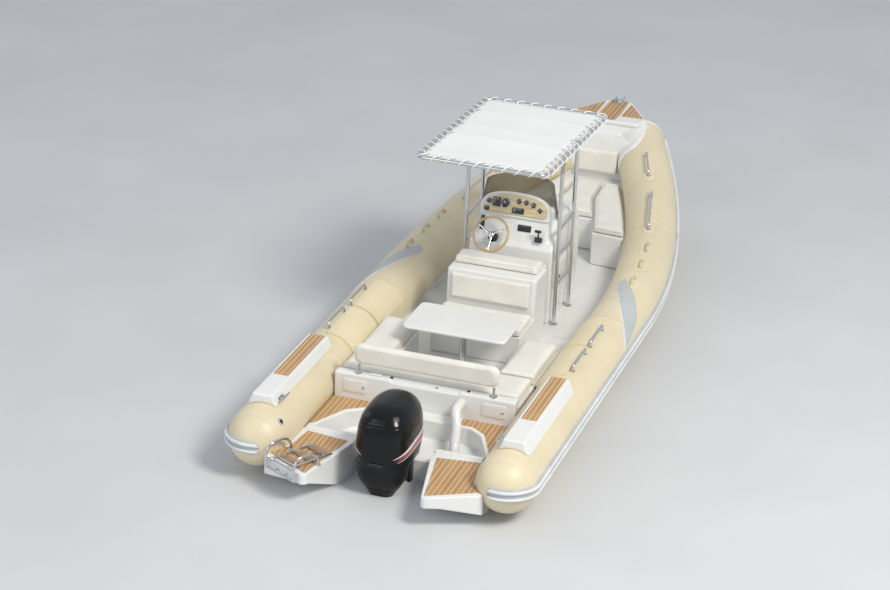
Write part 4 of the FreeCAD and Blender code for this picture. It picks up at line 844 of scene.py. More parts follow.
def softened(node_name, cell, rounds, body="boat"):
    """A moulding as it leaves its mould: the CAD solid on an even grid of cells, eased so that
    every edge and inner corner is a small round, then with its flat faces merged again."""
    source = new_object(node_name + "_source", cad_copy(node_name), slots[node_name])
    even_grid(source, cell, rounds)
    add_modifier(source, "DECIMATE", decimate_type="DISSOLVE", angle_limit=math.radians(1.1))
    mesh = bpy.data.meshes.new_from_object(evaluated(source))
    bpy.data.objects.remove(source)
    if node_name == "bow_locker":
        held_inside(mesh)
    piece = new_object(node_name + "_moulding", mesh, slots[node_name])
    add_modifier(piece, "WEIGHTED_NORMAL", weight=60, keep_sharp=False)
    settle(piece, body)
    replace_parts(piece, node_name)


MOULDINGS = (
    # node, cell, rounds, body if it isn't the boat
    ("stern_deck", 0.010, 5), ("swim_platform_port", 0.008, 5), ("swim_platform_stbd", 0.008, 5),
    ("step_pads", 0.008, 5), ("bow_deck", 0.008, 4), ("bow_locker", 0.011, 5), ("bow_moulding", 0.010, 6),
    ("dinette_bench", 0.011, 5), ("table_top", 0.006, 4), ("helm_seat", 0.009, 6), ("console", 0.009, 6),
    ("engine_leg", 0.007, 8, "engine"), ("lower_cowl", 0.007, 8, "engine"), ("gearcase", 0.0045, 3, "engine"),
)
for values in MOULDINGS:
    softened(*values)


# ---- canopy ----

CANOPY_AFT, CANOPY_FRONT, CANOPY_HALF, CANOPY_CORNER = 2.137, 4.260, 0.626, 0.085
CANOPY_HIGH, CANOPY_FALL = 2.175, (2.175 - 2.060) / (4.260 - 2.137)
CROSS_TUBES = np.array([2.183, 2.960, 3.290, 3.790, 4.214])
LACE_PITCH = 0.137


def canopy_level(along):
    return CANOPY_HIGH - (along - CANOPY_AFT) * CANOPY_FALL


def canopy_edge(spacing):
    """Evenly spaced points and inward directions along the perimeter tube's centre line: a
    rectangle with round corners, tilted down to the front."""
    corners = [(x, y, 0.0) for x, y in ((CANOPY_AFT, CANOPY_HALF), (CANOPY_FRONT, CANOPY_HALF),
                                        (CANOPY_FRONT, -CANOPY_HALF), (CANOPY_AFT, -CANOPY_HALF))]
    line = evenly(rounded_line(corners, CANOPY_CORNER, closed=True, steps=10), spacing)
    heading = unit(np.roll(line, -1, 0) - np.roll(line, 1, 0))
    inward = np.cross(heading, (0.0, 0.0, 1.0))
    inward *= np.sign(((line.mean(0) - line) * inward).sum(1, keepdims=True))
    line[:, 2] = canopy_level(line[:, 0])
    return line, inward


EDGE_LINE, EDGE_INWARD = canopy_edge(LACE_PITCH / 60)
coarse_edge = canopy_edge(0.01)[0]
LACE_TURNS = int(round(np.linalg.norm(np.roll(coarse_edge, -1, 0) - coarse_edge, axis=1).sum() / LACE_PITCH))


def canopy_cloth():
    """The awning: rings drawn in from its laced edge to its middle. The edge is scalloped, out at
    each eyelet and in between them, and sits level with the tube; the field lies over the cross
    tubes, sags a little between them and shows faint pulls towards the eyelets."""
    edge, inward = canopy_edge(LACE_PITCH / 8)
    count = len(edge)
    phase = np.arange(count) / count * LACE_TURNS * TAU
    pull = 0.5 + 0.5 * np.cos(phase)
    edge = edge + inward * (0.040 + 0.007 * (1 - pull))[:, None]
    centre = edge.mean(0)
    share = np.concatenate([[0.0], np.linspace(0.04, 0.90, 36), np.linspace(0.915, 1.0, 14)])[:, None]
    points = centre + (edge - centre) * share[..., None]
    along = points[..., 0]
    after = np.clip(np.searchsorted(CROSS_TUBES, along), 1, len(CROSS_TUBES) - 1)
    span = CROSS_TUBES[after] - CROSS_TUBES[after - 1]
    between = np.clip((along - CROSS_TUBES[after - 1]) / span, 0, 1)
    sag = 4 * between * (1 - between) * 0.022 * (span / 0.7) ** 2 * np.sin(np.pi * share / 2)[::-1]
    rim = share ** 10
    lift = 0.0195 * (1 - rim) + 0.007 * rim
    pulls = 0.0022 * np.cos(phase) * np.clip(share - 0.55, 0, 1) ** 1.5 * (1 - rim)
    corner = np.exp(-((np.abs(points[..., 1]) / 0.58 - 1) ** 2 * 30))
    points[..., 2] = canopy_level(along) + lift - sag + pulls + 0.002 * corner * (1 - rim)
    piece = make_piece("canopy_cloth", rings(points), "canopy_fabric", outward=False)
    add_modifier(piece, "SOLIDIFY", thickness=0.0014, offset=0)
    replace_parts(piece, "canopy")
    return piece, points


def canopy_hem(surface):
    """The doubled border: a flat band 45 mm wide that follows the cloth and ends in its edge."""
    rows = surface[-9:]
    half = (0, 0, 0.0022)
    band = rings([*(rows + half), *(rows[::-1] - half)], wrap_rows=True)
    return make_piece("canopy_hem", band, "canopy_fabric", "canopy_hem")


def canopy_lacing():
    """One lace round the perimeter tube: in each turn it rises by an eyelet, passes over the
    cloth's edge and the tube, and comes back under both while it moves on by one pitch."""
    fine = 22
    at = np.arange(LACE_TURNS * fine) / fine
    turn = at % 1.0
    onward = np.floor(at) + np.clip((turn - 0.08) / 0.84, 0, 1)
    index = np.round(onward / LACE_TURNS * len(EDGE_LINE)).astype(int) % len(EDGE_LINE)
    angle = turn * TAU
    path = EDGE_LINE[index] + EDGE_INWARD[index] * (0.0190 + 0.0475 * np.cos(angle))[:, None]
    path[:, 2] = canopy_level(path[:, 0]) + 0.0300 * np.sin(angle) + 0.006 * np.clip(np.cos(angle), 0, 1)
    make_piece("canopy_lace", cord_surface(path, 0.0058, 8), "canopy_fabric", "lace_white")


def canopy_eyelets():
    """A pressed metal ring at each hole in the hem."""
    profile = [(0.0046, -0.004), (0.0046, 0.005), (0.006, 0.0065), (0.008, 0.0055), (0.0085, 0.003),
               (0.0085, -0.004)]
    index = np.round(np.arange(LACE_TURNS) / LACE_TURNS * len(EDGE_LINE)).astype(int) % len(EDGE_LINE)
    centres = EDGE_LINE[index] + EDGE_INWARD[index] * 0.062
    centres[:, 2] = canopy_level(centres[:, 0]) + 0.0195 - 0.003
    return make_piece("canopy_eyelets", joined([lathe(profile, centre, (0, 0, 1), 14, ring=True)
                                                for centre in centres]), "stainless")


cloth, cloth_surface = canopy_cloth()
hem = canopy_hem(cloth_surface)
canopy_lacing()
eyelets = canopy_eyelets()


# ---- engine ----

COWL_LEVELS, COWL_FRONT, COWL_BACK, COWL_SIDE = np.array([
    # level, front and back ends, half width
    (0.326, 0.094, -0.528, 0.243), (0.344, 0.112, -0.534, 0.248), (0.395, 0.140, -0.540, 0.252),
    (0.461, 0.160, -0.541, 0.254), (0.546, 0.170, -0.534, 0.250), (0.621, 0.172, -0.524, 0.243),
    (0.696, 0.160, -0.502, 0.226), (0.753, 0.138, -0.470, 0.203), (0.795, 0.100, -0.424, 0.168),
    (0.822, 0.050, -0.362, 0.118), (0.832, 0.010, -0.310, 0.060)]).T
CREASE = 0.700


def smooth_value(level, values):
    """Monotone cubic through the cowl's levels, with slopes from the neighbouring values."""
    level = np.clip(level, COWL_LEVELS[0], COWL_LEVELS[-1])
    step = np.diff(COWL_LEVELS)
    slope = np.diff(values) / step
    both = slope[1:] * slope[:-1]
    inner = np.where(both > 0, 2 * both / (slope[1:] + slope[:-1] + 1e-12), 0)
    tangent = np.concatenate([slope[:1], inner, slope[-1:]])
    at = np.clip(np.searchsorted(COWL_LEVELS, level, side="right") - 1, 0, len(step) - 1)
    share = (level - COWL_LEVELS[at]) / step[at]
    first, second = values[at], values[at + 1]
    cube, square = share ** 3, share ** 2
    return ((2 * cube - 3 * square + 1) * first + (cube - 2 * square + share) * step[at] * tangent[at]
            + (3 * square - 2 * cube) * second + (cube - square) * step[at] * tangent[at + 1])


def cowl_point(turn, level, out=0.0):
    """A point of the cowl: a level section is a superellipse with flat sides and round corners,
    fuller at the back, its length and width smooth functions of the level. Turn 0 is ahead and a
    quarter turn is to port."""
    turn, level = np.broadcast_arrays(np.asarray(turn, float), np.asarray(level, float))
    front, back, side = (smooth_value(level, values) for values in (COWL_FRONT, COWL_BACK, COWL_SIDE))
    middle, half = (front + back) / 2, (front - back) / 2
    power = 2 / (3.4 - 0.8 * np.clip((level - 0.68) / 0.15, 0, 1))
    groove = np.exp(-((level - CREASE) / 0.005) ** 2) * 0.007
    brow = np.exp(-((level - CREASE - 0.016) / 0.014) ** 2) * 0.003
    ridge = np.exp(-((level - 0.47) / 0.030) ** 2) * 0.002
    grow = out - groove + brow + ridge
    cosine, sine = np.cos(turn), np.sin(turn)
    along = middle + (half + grow) * np.sign(cosine) * np.abs(cosine) ** power
    across = (side + grow) * np.sign(sine) * np.abs(sine) ** power
    pinch = 1 - 0.10 * np.clip((along - middle) / half, 0, 1) ** 2
    return np.stack([along, across * pinch, level + 0 * along], axis=-1)


def engine_cowl():
    """The upper cowl: sections from its foot to the crown, closed by a shallow dome."""
    levels = np.concatenate([np.linspace(0.326, 0.680, 42), np.linspace(0.683, 0.732, 26),
                             np.linspace(0.736, 0.832, 30)])
    points = cowl_point(around(144), levels[:, None])
    foot = points[:1] * (0.9, 0.9, 1)
    middle = points[-1].mean(0)
    dome = [middle + (points[-1] - middle) * share + (0, 0, 0.006 * (1 - share ** 2))
            for share in (0.8, 0.55, 0.3, 0.0)]
    points = np.concatenate([foot * (0, 0, 1) + (-0.2, 0, 0), foot, points, dome])
    piece = make_piece("engine_cowl", rings(points), "cowl_gloss", body="engine")
    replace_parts(piece, "upper_cowl")


def cowl_sweep(name, side, start, end, high, fall, power, width, finish):
    """A painted sweep on the cowl's side, a hair off its skin. Between two turns its middle
    height falls as a power of the share of the way, and its half width is a bent sine."""
    share = np.linspace(0, 1, 60)[:, None]
    turn = side * (start + (end - start) * share)
    half = width * np.sin(np.pi * share ** 0.6) ** 0.8 + 0.0005
    level = high - fall * share ** power + half * np.linspace(-1, 1, 7)
    over, under = (cowl_point(turn, level, out) for out in (0.0008, -0.001))
    points = capped(np.concatenate([over, under[:, ::-1]], axis=1))
    make_piece(name, rings(points), "cowl_gloss", finish, "engine")


def cowl_patch(turn, half_turn, level, half_level, out, deep):
    """A closed patch of the cowl's surface between two turns and two levels, from a skin deep in
    to a skin further out."""
    turn = turn + np.linspace(-half_turn, half_turn, 14)[:, None]
    level = level + np.linspace(-half_level, half_level, 8)
    return np.stack([cowl_point(turn, level, out), cowl_point(turn, level, deep)]), closed_patch(14, 8)


engine_cowl()
for word, side in SIDES:
    for paint, *values in (("white", 0.9, 2.75, 0.535, 0.115, 1.5, 0.017, "stripe_silver"),
                           ("red", 1.1, 2.62, 0.492, 0.088, 1.4, 0.021, "stripe_red"),
                           ("line", 1.35, 2.55, 0.448, 0.060, 1.3, 0.006, "stripe_silver")):
        cowl_sweep("cowl_sweep_%s_%s" % (paint, word), side, *values)
# two air slots under the crown at the back, a plain plate between them and a latch below
for name, finish, *patches in (
        ("cowl_air_slots", "control_black", (2.55, 0.16, 0.765, 0.016, 0.0015, -0.004),
         (TAU - 2.55, 0.16, 0.765, 0.016, 0.0015, -0.004)),
        ("cowl_plate", "cowl_gloss", (math.pi, 0.17, 0.790, 0.012, 0.002, -0.002)),
        ("cowl_latch", "control_black", (math.pi, 0.10, 0.352, 0.014, 0.012, -0.002))):
    shape = joined([cowl_patch(*patch) for patch in patches])
    piece = make_piece(name, shape, "cowl_gloss", finish, "engine")
    add_modifier(piece, "BEVEL", width=0.0012, segments=2, limit_method="ANGLE")


# ---- bow shoulders, caps and tube fittings ----

def skin_patch(name, side, outline, rows, columns, high, edge, slot, finish=None):
    """A piece glued on a tube's skin. The outline gives, for a share across (0 to 1), the places
    along the tube where it begins and ends and its angle round the tube. It stands out by a
    height that rises from nothing within a margin from its rim, as a quarter of a circle."""
    across = np.linspace(0, 1, columns)
    first, last, angle = outline(across)
    share = np.linspace(0, 1, rows)[:, None]
    along = first + (last - first) * share
    angle = np.broadcast_to(np.radians(angle), along.shape)
    rim = np.minimum(np.minimum(share, 1 - share) * np.maximum(last - first, 1e-3),
                     np.minimum(across, 1 - across) * TUBE_RADIUS * np.ptp(angle))
    lift = high * np.sqrt(np.clip(1 - (1 - np.clip(rim / edge, 0, 1)) ** 2, 0, 1)) + 0.0004
    layers = [tube_skin(along, angle, side, out) for out in (lift, -0.003)]
    make_piece(name, (np.stack(layers), closed_patch(rows, columns)), slot, finish)


def rounded_span(middle, half, reach, low, high):
    """Outline of a patch whose ends are round: the half length falls off as a superellipse."""
    def outline(across):
        fall = (1 - np.abs(2 * across - 1) ** 2.6) ** (1 / 2.6)
        length = half - reach + reach * fall
        return middle - length, middle + length, low + (high - low) * across
    return outline


def shoulder_outline(across):
    """The white shoulder: from the tube's top round its inner side, its aft upper corner round."""
    corner = np.clip(1 - across / 0.42, 0, 1)
    return 6.47 + 0.34 * corner ** 2.4, np.full_like(across, NOSE_END + 0.004), 78 + 132 * across


def band_outline(across):
    """The pale sweep on a tube's outer side, wide by the strake and drawn to a point at the top."""
    aft = 2.50 + 0.52 * across + 0.58 * across ** 2
    width = 0.365 + 0.38 * across - 0.50 * across ** 2
    width = width * np.clip(across / 0.19, 0, 1) ** 0.6 * np.clip((1 - across) / 0.14, 0, 1) ** 0.7
    return aft, aft + 0.012 + width, 17 + 100 * across


def band_edge(across):
    """The white line along the sweep's aft side."""
    first, _, angle = band_outline(across)
    return first - 0.050, first - 0.006, angle


def lap_outline(place):
    """A lap of fabric, 44 mm wide, over the top of the tube and down its inner side."""
    return lambda across: (np.full_like(across, place - 0.022), np.full_like(across, place + 0.022),
                           20 + 168 * across)


def bow_cap(word, side):
    """A moulded cap over the flat front end of a tube: a low dome turned about its heading."""
    centre, heading, _, _ = tube_line(NOSE_END, side)
    radius = TUBE_RADIUS + 0.003
    rows = [(0.0, -0.03), (radius, -0.03), (radius, 0.0)]
    rows += [(radius * math.cos(a), 0.055 * math.sin(a)) for a in np.linspace(0, math.pi / 2, 14)[1:]]
    make_piece("bow_cap_" + word, lathe(rows, centre, heading, 64), "gelcoat")


def tube_valve(word, side, along, angle):
    """An inflation valve: a grey flange about a shallow cup with a dark cap in it."""
    out = tube_skin(along, np.radians(angle), side)
    axis = unit(out - tube_line(along, side)[0])
    flange = [(0.0, -0.004), (0.036, -0.004), (0.036, 0.002), (0.033, 0.005), (0.026, 0.0055),
              (0.024, 0.003), (0.0, 0.003)]
    cap = [(0.0, 0.002), (0.019, 0.002), (0.019, 0.009), (0.017, 0.011), (0.006, 0.0115), (0.0, 0.0115)]
    make_piece("valve_flange_" + word, lathe(flange, out, axis, 40), "strake_rubber")
    make_piece("valve_cap_" + word, lathe(cap, out, axis, 28), "control_black")


for word, side in SIDES:
    patches = [("bow_shoulder_" + word, shoulder_outline, 40, 60, 0.014, 0.045, "gelcoat"),
               ("tube_sweep_" + word, band_outline, 24, 60, 0.0030, 0.004, "tube_fabric", "pale_band"),
               ("tube_sweep_edge_" + word, band_edge, 10, 60, 0.0034, 0.004, "tube_fabric", "stripe_rubber")]
    patches += [("handle_patch_%s_%d" % (word, number), rounded_span(place, 0.115, 0.07, 72, 101), 22, 22,
                 0.0022, 0.006, "bolster_fabric") for number, place in enumerate((3.64, 4.06, 4.44), 1)]
    patches += [("rail_patch_%s_%d" % (word, number),
                 rounded_span((aft + front) / 2, (front - aft) / 2 + 0.07, 0.05, angle - 13, angle + 13),
                 26, 18, 0.0022, 0.006, "bolster_fabric")
                for number, aft, front, angle in ((2, 4.86, 5.54, 92), (3, 5.93, 6.29, 96))]
    patches += [("fabric_lap_%s_%d" % (word, number), lap_outline(place), 5, 80, 0.0014, 0.003, "tube_fabric")
                for number, place in enumerate((1.02, 2.71, 5.05), 1)]
    for name, *values in patches:
        skin_patch(name, side, *values)
    bow_cap(word, side)
    tube_valve(word, side, -0.41, 140)


# ---- dash ----

DASH_FOOT, DASH_LEAN = np.array([3.290, 0.0, 0.990]), math.atan2(0.346, 0.110)
DASH_ACROSS = np.array([0.0, 1.0, 0.0])
DASH_UP = np.array([math.cos(DASH_LEAN), 0.0, math.sin(DASH_LEAN)])
DASH_OUT = np.array([-math.sin(DASH_LEAN), 0.0, math.cos(DASH_LEAN)])
DASH_FACE = 0.032


def on_dash(across, up, out):
    across, up, out = (np.asarray(value, float)[..., None] for value in (across, up, out))
    return DASH_FOOT + DASH_ACROSS * across + DASH_UP * up + DASH_OUT * out


def hood_outline(half, low, spring, top, corner):
    """A closed outline on the dash plane: a flat foot with small round corners, straight sides
    up to the spring and a superellipse arch over them."""
    turn = np.linspace(0, math.pi, 48)
    power = 2 / 2.6
    arch = np.stack([half * np.sign(np.cos(turn)) * np.abs(np.cos(turn)) ** power,
                     spring + (top - spring) * np.sin(turn) ** power, 0 * turn], 1)
    foot = rounded_line([(-half, spring, 0), (-half, low, 0), (half, low, 0), (half, spring, 0)], corner,
                        steps=8)
    return evenly(np.concatenate([arch, foot[1:-1]]), 0.008)[:, :2]


def dash_hood():
    """The white instrument hood: the arch outline carried forward from the dash face while it
    draws in and falls to the console's deck."""
    outline = hood_outline(0.356, 0.245, 0.300, 0.487, 0.02)
    spring, rows = 0.30, []
    for back, shrink, fall in ((0.022, 0.93, 0.0), (0.027, 0.955, 0.0), (0.024, 0.985, 0.0),
                               (0.012, 1.0, 0.0), (-0.02, 1.0, 0.0), (-0.08, 0.985, 0.008),
                               (-0.16, 0.93, 0.030), (-0.22, 0.84, 0.070), (-0.26, 0.70, 0.125),
                               (-0.28, 0.5, 0.19)):
        across, up = outline[:, 0] * shrink, outline[:, 1]
        up = np.where(up > spring, spring + (up - spring) * shrink, up) - fall
        rows.append(on_dash(across, up, back))
    make_piece("dash_hood", rings(capped(np.array(rows))), "gelcoat")


def dash_panel():
    """The tan panel: rings of its outline drawn in towards its middle over a rounded rim, the
    last ones level."""
    outline = hood_outline(0.318, 0.268, 0.305, 0.458, 0.03)
    middle = outline.mean(0)
    back, rim, thick = -0.004, 0.003, 0.006
    curve = [(0.0, back)] + [(rim * (1 - math.cos(a)), thick - rim + rim * math.sin(a))
                             for a in np.linspace(0, math.pi / 2, 6)]
    rows = [(middle + 0 * outline, back)]
    rows += [(outline - unit(outline - middle) * inset, height) for inset, height in curve]
    rows += [(middle + (rows[-1][0] - middle) * share, thick) for share in (0.9, 0.6, 0.3, 0.0)]
    grid = [on_dash(ring[:, 0], ring[:, 1], height + 0.026) for ring, height in rows]
    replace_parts(make_piece("dash_face", rings(grid), "dash_tan"), "dash_panel")


def dash_mark(centre, turn, near, far, half, out):
    """A thin flat bar on a dial, between two distances from its centre."""
    way = DASH_ACROSS * -math.cos(turn) + DASH_UP * math.sin(turn)
    beside = np.cross(way, DASH_OUT)
    edges = ((near, -1), (far, -0.6), (far, 0.6), (near, 1))
    corners = [centre + way * reach + beside * half * edge + DASH_OUT * (out + level)
               for level in (-0.0008, 0.0) for reach, edge in edges]
    sides = [[number, number + 4, (number + 1) % 4 + 4, (number + 1) % 4] for number in range(4)]
    return np.array(corners), [[0, 1, 2, 3], [7, 6, 5, 4], *sides]


def dial(name, across, up, radius, reading):
    """A round instrument: a bright bezel, a dark face, white ticks on three quarters of a turn
    and a pointer."""
    centre = on_dash(across, up, DASH_FACE)
    bezel = [(radius * 0.86, 0.002), (radius * 0.88, 0.010), (radius * 0.94, 0.012), (radius, 0.009),
             (radius * 1.03, 0.0), (radius * 0.86, 0.0)]
    face = [(0.0, -0.002), (radius * 0.9, -0.002), (radius * 0.9, 0.004), (radius * 0.3, 0.005), (0.0, 0.005)]
    hub = [(0.0, 0.004), (radius * 0.10, 0.004), (radius * 0.10, 0.008), (0.0, 0.0085)]
    make_piece(name + "_bezel", lathe(bezel, centre, DASH_OUT, 48, ring=True), "instrument_black",
               "stainless")
    make_piece(name + "_face", lathe(face, centre, DASH_OUT, 48), "instrument_black")
    marks = []
    for number in range(19):
        near, half = (0.60, 0.035) if number % 3 == 0 else (0.68, 0.02)
        marks.append(dash_mark(centre, math.radians(225 - 15 * number), radius * near, radius * 0.80,
                               radius * half, 0.0056))
    marks.append(dash_mark(centre, math.radians(reading), -radius * 0.15, radius * 0.62, radius * 0.035,
                           0.0066))
    marks.append(lathe(hub, centre, DASH_OUT, 16))
    make_piece(name + "_marks", joined(marks), "instrument_black", "dial_white", flat=True)


def dash_box(across, up, width, height, out, thick, corner=0.006, rim=0.002):
    """A plate on the dash with round corners and a soft rim."""
    return plate(on_dash(across, up, out), (DASH_ACROSS, DASH_UP, DASH_OUT), (width, height),
                 soft_rim(-0.002, thick, rim), corner, 5, 0.004)


dash_hood()
dash_panel()
dial("speed_dial", 0.105, 0.372, 0.052, 130)
for number, (across, up) in enumerate(((0.268, 0.372), (-0.030, 0.405), (-0.105, 0.402), (-0.178, 0.388),
                                       (-0.250, 0.345))):
    dial("small_dial_%d" % (number + 1), across, up, 0.028, 110 + 17 * number)
plates = [dash_box(0.192, 0.372, 0.082, 0.088, DASH_FACE, 0.014),
          dash_box(0.286, 0.296, 0.050, 0.044, DASH_FACE, 0.008),
          dash_box(-0.030, 0.312, 0.120, 0.056, DASH_FACE, 0.008)]
glass = [dash_box(0.192, 0.378, 0.064, 0.062, DASH_FACE + 0.014, 0.0012, 0.003, 0.0008),
         dash_box(-0.030, 0.312, 0.100, 0.040, DASH_FACE + 0.008, 0.0012, 0.003, 0.0008)]
keys = []
for across, up, columns, rows in ((0.318, 0.150, 1, 5), (-0.110, 0.150, 4, 2)):
    pitch = np.array([0.030, 0.026])
    width, height = pitch * (columns, rows) + (0.014, 0.012)
    plates.append(dash_box(across, up, width, height, 0.001, 0.006, 0.005))
    for column in range(columns):
        for row in range(rows):
            shift = (np.array([column, row]) - np.array([columns - 1, rows - 1]) / 2) * pitch
            keys.append(dash_box(across + shift[0], up + shift[1], 0.022, 0.018, 0.007, 0.005, 0.003, 0.0016))
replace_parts(make_piece("dash_plates", joined(plates), "instrument_black"), "instruments")
make_piece("dash_glass", joined(glass), "instrument_black", "display_glass")
make_piece("dash_keys", joined(keys), "instrument_black", "control_black")


# ---- steering wheel ----

WHEEL_CENTRE, WHEEL_RADIUS, WHEEL_LEAN = np.array([3.145, 0.170, 1.100]), 0.172, math.radians(36)
WHEEL_AXIS = np.array([-math.cos(WHEEL_LEAN), 0.0, math.sin(WHEEL_LEAN)])
WHEEL_UP = np.array([math.sin(WHEEL_LEAN), 0.0, math.cos(WHEEL_LEAN)])
WHEEL_ACROSS = np.array([0.0, 1.0, 0.0])


def wheel_rim():
    """A wooden rim: a ring whose section is a little deeper than wide, with finger hollows on its
    inner side as a cosine round the ring."""
    turn, way = around(180)[:, None], around(20)
    grip = 0.0009 * np.cos(30 * turn) * np.clip(-np.cos(way), 0, 1)
    out = (0.0128 + grip) * np.cos(way)
    deep = 0.0138 * np.sin(way) + 0 * turn
    beside = np.cos(turn)[..., None] * WHEEL_ACROSS + np.sin(turn)[..., None] * WHEEL_UP
    points = WHEEL_CENTRE + beside * (WHEEL_RADIUS + out)[..., None] + WHEEL_AXIS * deep[..., None]
    piece = make_piece("wheel_rim", rings(points, wrap_rows=True), "wheel_rim", body="wheel")
    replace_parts(piece, "steering_wheel")


def wheel_spokes():
    """Three bright spokes: flat bars that widen to the hub and dip towards it, and a domed hub."""
    share, turn = np.linspace(0, 1, 18)[:, None], around(12)
    reach = 0.018 + (WHEEL_RADIUS - 0.020) * share
    half = 0.0115 - 0.005 * share
    dip = -0.010 * np.cos(share * math.pi / 2) ** 2
    parts = []
    for lean in np.radians((-90, 30, 150)):
        way = WHEEL_ACROSS * math.cos(lean) + WHEEL_UP * math.sin(lean)
        beside = np.cross(WHEEL_AXIS, way)
        points = (WHEEL_CENTRE + way * reach[..., None] + beside * (half * np.cos(turn))[..., None]
                  + WHEEL_AXIS * (dip + 0.0030 * np.sin(turn))[..., None])
        parts.append(rings(capped(points)))
    hub = [(0.0, -0.022), (0.030, -0.022), (0.032, -0.012), (0.030, -0.002), (0.024, 0.004), (0.022, 0.003),
           (0.018, 0.009), (0.0, 0.012)]
    parts.append(lathe(hub, WHEEL_CENTRE, WHEEL_AXIS, 40))
    make_piece("wheel_spokes", joined(parts), "wheel_rim", "stainless", "wheel")


wheel_rim()
wheel_spokes()


# ---- small fittings ----

AFT_FACE = ((0, 1, 0), (0, 0, 1), (-1, 0, 0))
STARBOARD_FACE = ((1, 0, 0), (0, 0, 1), (0, -1, 0))


def level_box(low, high, rim=0.004, corner=0.010):
    """A box with round upright corners and a soft upper rim."""
    low, high = np.array(low), np.array(high)
    middle, size = (low + high) / 2, (high - low)[:2]
    return plate(middle * (1, 1, 0), np.eye(3), size, soft_rim(low[2], high[2], rim),
                 min(corner, 0.9 * min(size) / 2), 5, 0.006)


def face_plate(place, axes, width, height, thick, corner=0.02):
    """A round-cornered plate on a face, its rim eased in two steps."""
    rows = ((0, 0, -0.002), (1, 0, -0.002), (1, 0, thick * 0.4), (1, 0.0015, thick * 0.85), (1, 0.004, thick),
            (0.5, 0.004, thick), (0, 0.004, thick))
    return plate(place, axes, (width, height), rows, corner, 6, 0.010)


def button(place, axis, sides, radius, high, *top):
    """A round button or catch; top holds the (radius, height) rows inside its rim."""
    return lathe([(0.0, -0.001), (radius, -0.001), (radius, high), *top], place, axis, sides)


def fittings():
    """Catches, hatch covers, drains and hinges on the bench, lockers, console and sole."""
    aft, starboard, up = (-1, 0, 0), (0, -1, 0), (0, 0, 1)
    white = [level_box((0.752, 0.42, 0.5535), (0.800, 0.53, 0.566)),
             face_plate((0.722, 0.66, 0.435), AFT_FACE, 0.23, 0.13, 0.006),
             face_plate((0.722, -0.66, 0.435), AFT_FACE, 0.23, 0.13, 0.006),
             face_plate((3.258, -0.17, 0.56), AFT_FACE, 0.40, 0.52, 0.008, 0.035),
             face_plate((3.72, -0.4195, 0.55), STARBOARD_FACE, 0.44, 0.44, 0.007, 0.04),
             level_box((2.62, -0.78, 0.200), (3.02, -0.56, 0.2045), 0.002, 0.03),
             level_box((4.40, -0.25, 0.200), (4.82, 0.25, 0.2045), 0.002, 0.03)]
    steel = [button((0.716, y - 0.085, 0.435), aft, 24, 0.013, 0.004, (0.009, 0.006), (0.0, 0.006))
             for y in (0.66, -0.66)]
    steel += [button((3.250, 0.0, 0.56), aft, 28, 0.018, 0.004, (0.012, 0.007), (0.0, 0.007)),
              button((3.62, -0.4265, 0.59), starboard, 24, 0.011, 0.004, (0.0, 0.005))]
    lift = [(0.0, 0.0), (0.020, 0.0), (0.020, 0.002), (0.015, 0.0035), (0.0, 0.0035)]
    steel += [lathe(lift, (x, y, 0.2045), up, 28) for x, y in ((2.68, -0.67), (4.46, 0.0))]
    dark = [level_box((0.770, y - 0.014, low), (0.796, y + 0.014, high), 0.002, 0.006)
            for y, low, high in ((0.33, 0.5525, 0.5605), (-0.10, 0.531, 0.540), (-0.40, 0.5525, 0.5605))]
    dark += [button((3.56, -0.4265, 0.60), starboard, 24, 0.017, 0.004, (0.0, 0.005))]
    dark += [button((0.16, y, 0.130), up, 28, 0.022, 0.0025, (0.016, 0.003), (0.0, 0.001))
             for y in (0.30, -0.30)]
    make_piece("white_fittings", joined(white), "gelcoat")
    make_piece("steel_fittings", joined(steel), "stainless")
    make_piece("dark_fittings", joined(dark), "control_black")


def ladder_boards():
    """Teak boards on the ladder's treads, along and across the platform's slanting aft edge."""
    inner, outer = np.array([-0.640, 0.528, 0.313]), np.array([-0.905, 1.003, 0.313])
    run = unit((outer - inner) * (-1, 1, 0))
    out = np.array([-run[1], run[0], 0.0])
    boards = []
    for share in (0.3, 0.64, 0.98):
        place = (inner + outer) / 2 + out * (0.034 - share * 0.480 + 0.035) + (0, 0, 0.024 + 0.008)
        boards.append(face_plate(place, (run, out, (0, 0, 1)), 0.215, 0.056, 0.005, 0.008))
    make_piece("ladder_boards", joined(boards), "teak", "ladder_teak", "ladder")


fittings()
ladder_boards()


# ---- camera, light and floor ----

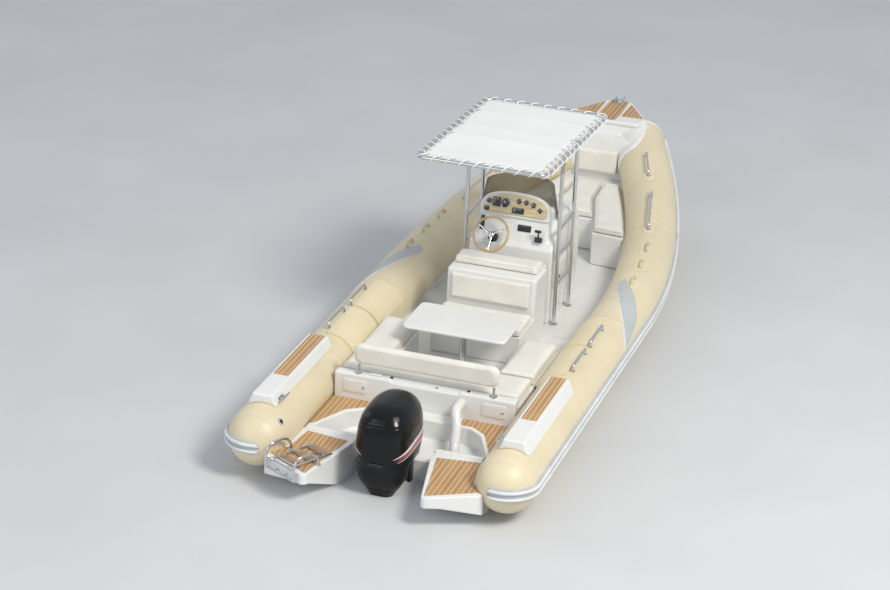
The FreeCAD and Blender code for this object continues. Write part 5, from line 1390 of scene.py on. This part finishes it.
def camera():
    """The photograph's view: place, heading, downward tilt and roll from the boat's own lines."""
    place = Vector((-20.923, -6.967, 11.308))
    heading, down, roll = math.radians(17.467), math.radians(23.42), math.radians(2.601)
    ahead = Vector((math.cos(heading) * math.cos(down), math.sin(heading) * math.cos(down), -math.sin(down)))
    right = ahead.cross(Vector((0, 0, 1))).normalized()
    above = right.cross(ahead)
    right, above = (right * math.cos(roll) + above * math.sin(roll),
                    above * math.cos(roll) - right * math.sin(roll))
    data = bpy.data.cameras.new("photo_view")
    data.sensor_width, data.lens, data.clip_end = 36.0, 113.33, 200
    view = bpy.data.objects.new("photo_view", data)
    turn = Matrix((right, above, -ahead)).transposed().to_4x4()
    view.matrix_world = Matrix.Translation(place) @ turn
    scene.collection.objects.link(view)
    scene.camera = view


def soft_light(name, place, target, size, power, colour):
    data = bpy.data.lights.new(name, "AREA")
    data.shape = "DISK"
    data.size = size
    data.energy = power
    data.color = colour
    lamp = bpy.data.objects.new(name, data)
    lamp.location = place
    lamp.rotation_mode = "QUATERNION"
    lamp.rotation_quaternion = (Vector(target) - Vector(place)).to_track_quat("-Z", "Y")
    scene.collection.objects.link(lamp)


def studio():
    """A pale floor at the waterline, a pale sky and two soft lights."""
    half = 60.0
    corners = [(-half, -half, 0), (half, -half, 0), (half, half, 0), (-half, half, 0)]
    mesh = new_mesh("studio_floor", corners, [(0, 1, 2, 3)])
    finish, tree, shader = new_finish("studio_floor", (0.62, 0.63, 0.64), 0.7)
    cloud = noise(tree, place_of(tree), 0.6, 3)
    tree.links.new(ramp(tree, cloud, 0.3, 0.7, (0.60, 0.61, 0.62), (0.64, 0.65, 0.66)),
                   shader.inputs["Base Color"])
    mesh.materials.append(finish)
    floor = bpy.data.objects.new("studio_floor", mesh)
    scene.collection.objects.link(floor)
    world = bpy.data.worlds.new("studio_sky")
    world.use_nodes = True
    sky = world.node_tree.nodes["Background"]
    sky.inputs[0].default_value = (0.86, 0.90, 0.96, 1)
    sky.inputs[1].default_value = 0.62
    scene.world = world
    scene.view_settings.view_transform = "Standard"
    scene.view_settings.look = "None"
    soft_light("key", (-6, -12, 16), (3, 0, 0.4), 6, 3000, (1.0, 0.965, 0.90))
    soft_light("fill", (-14, 9, 9), (2, 0, 0.4), 10, 500, (0.92, 0.96, 1.0))


camera()
studio()
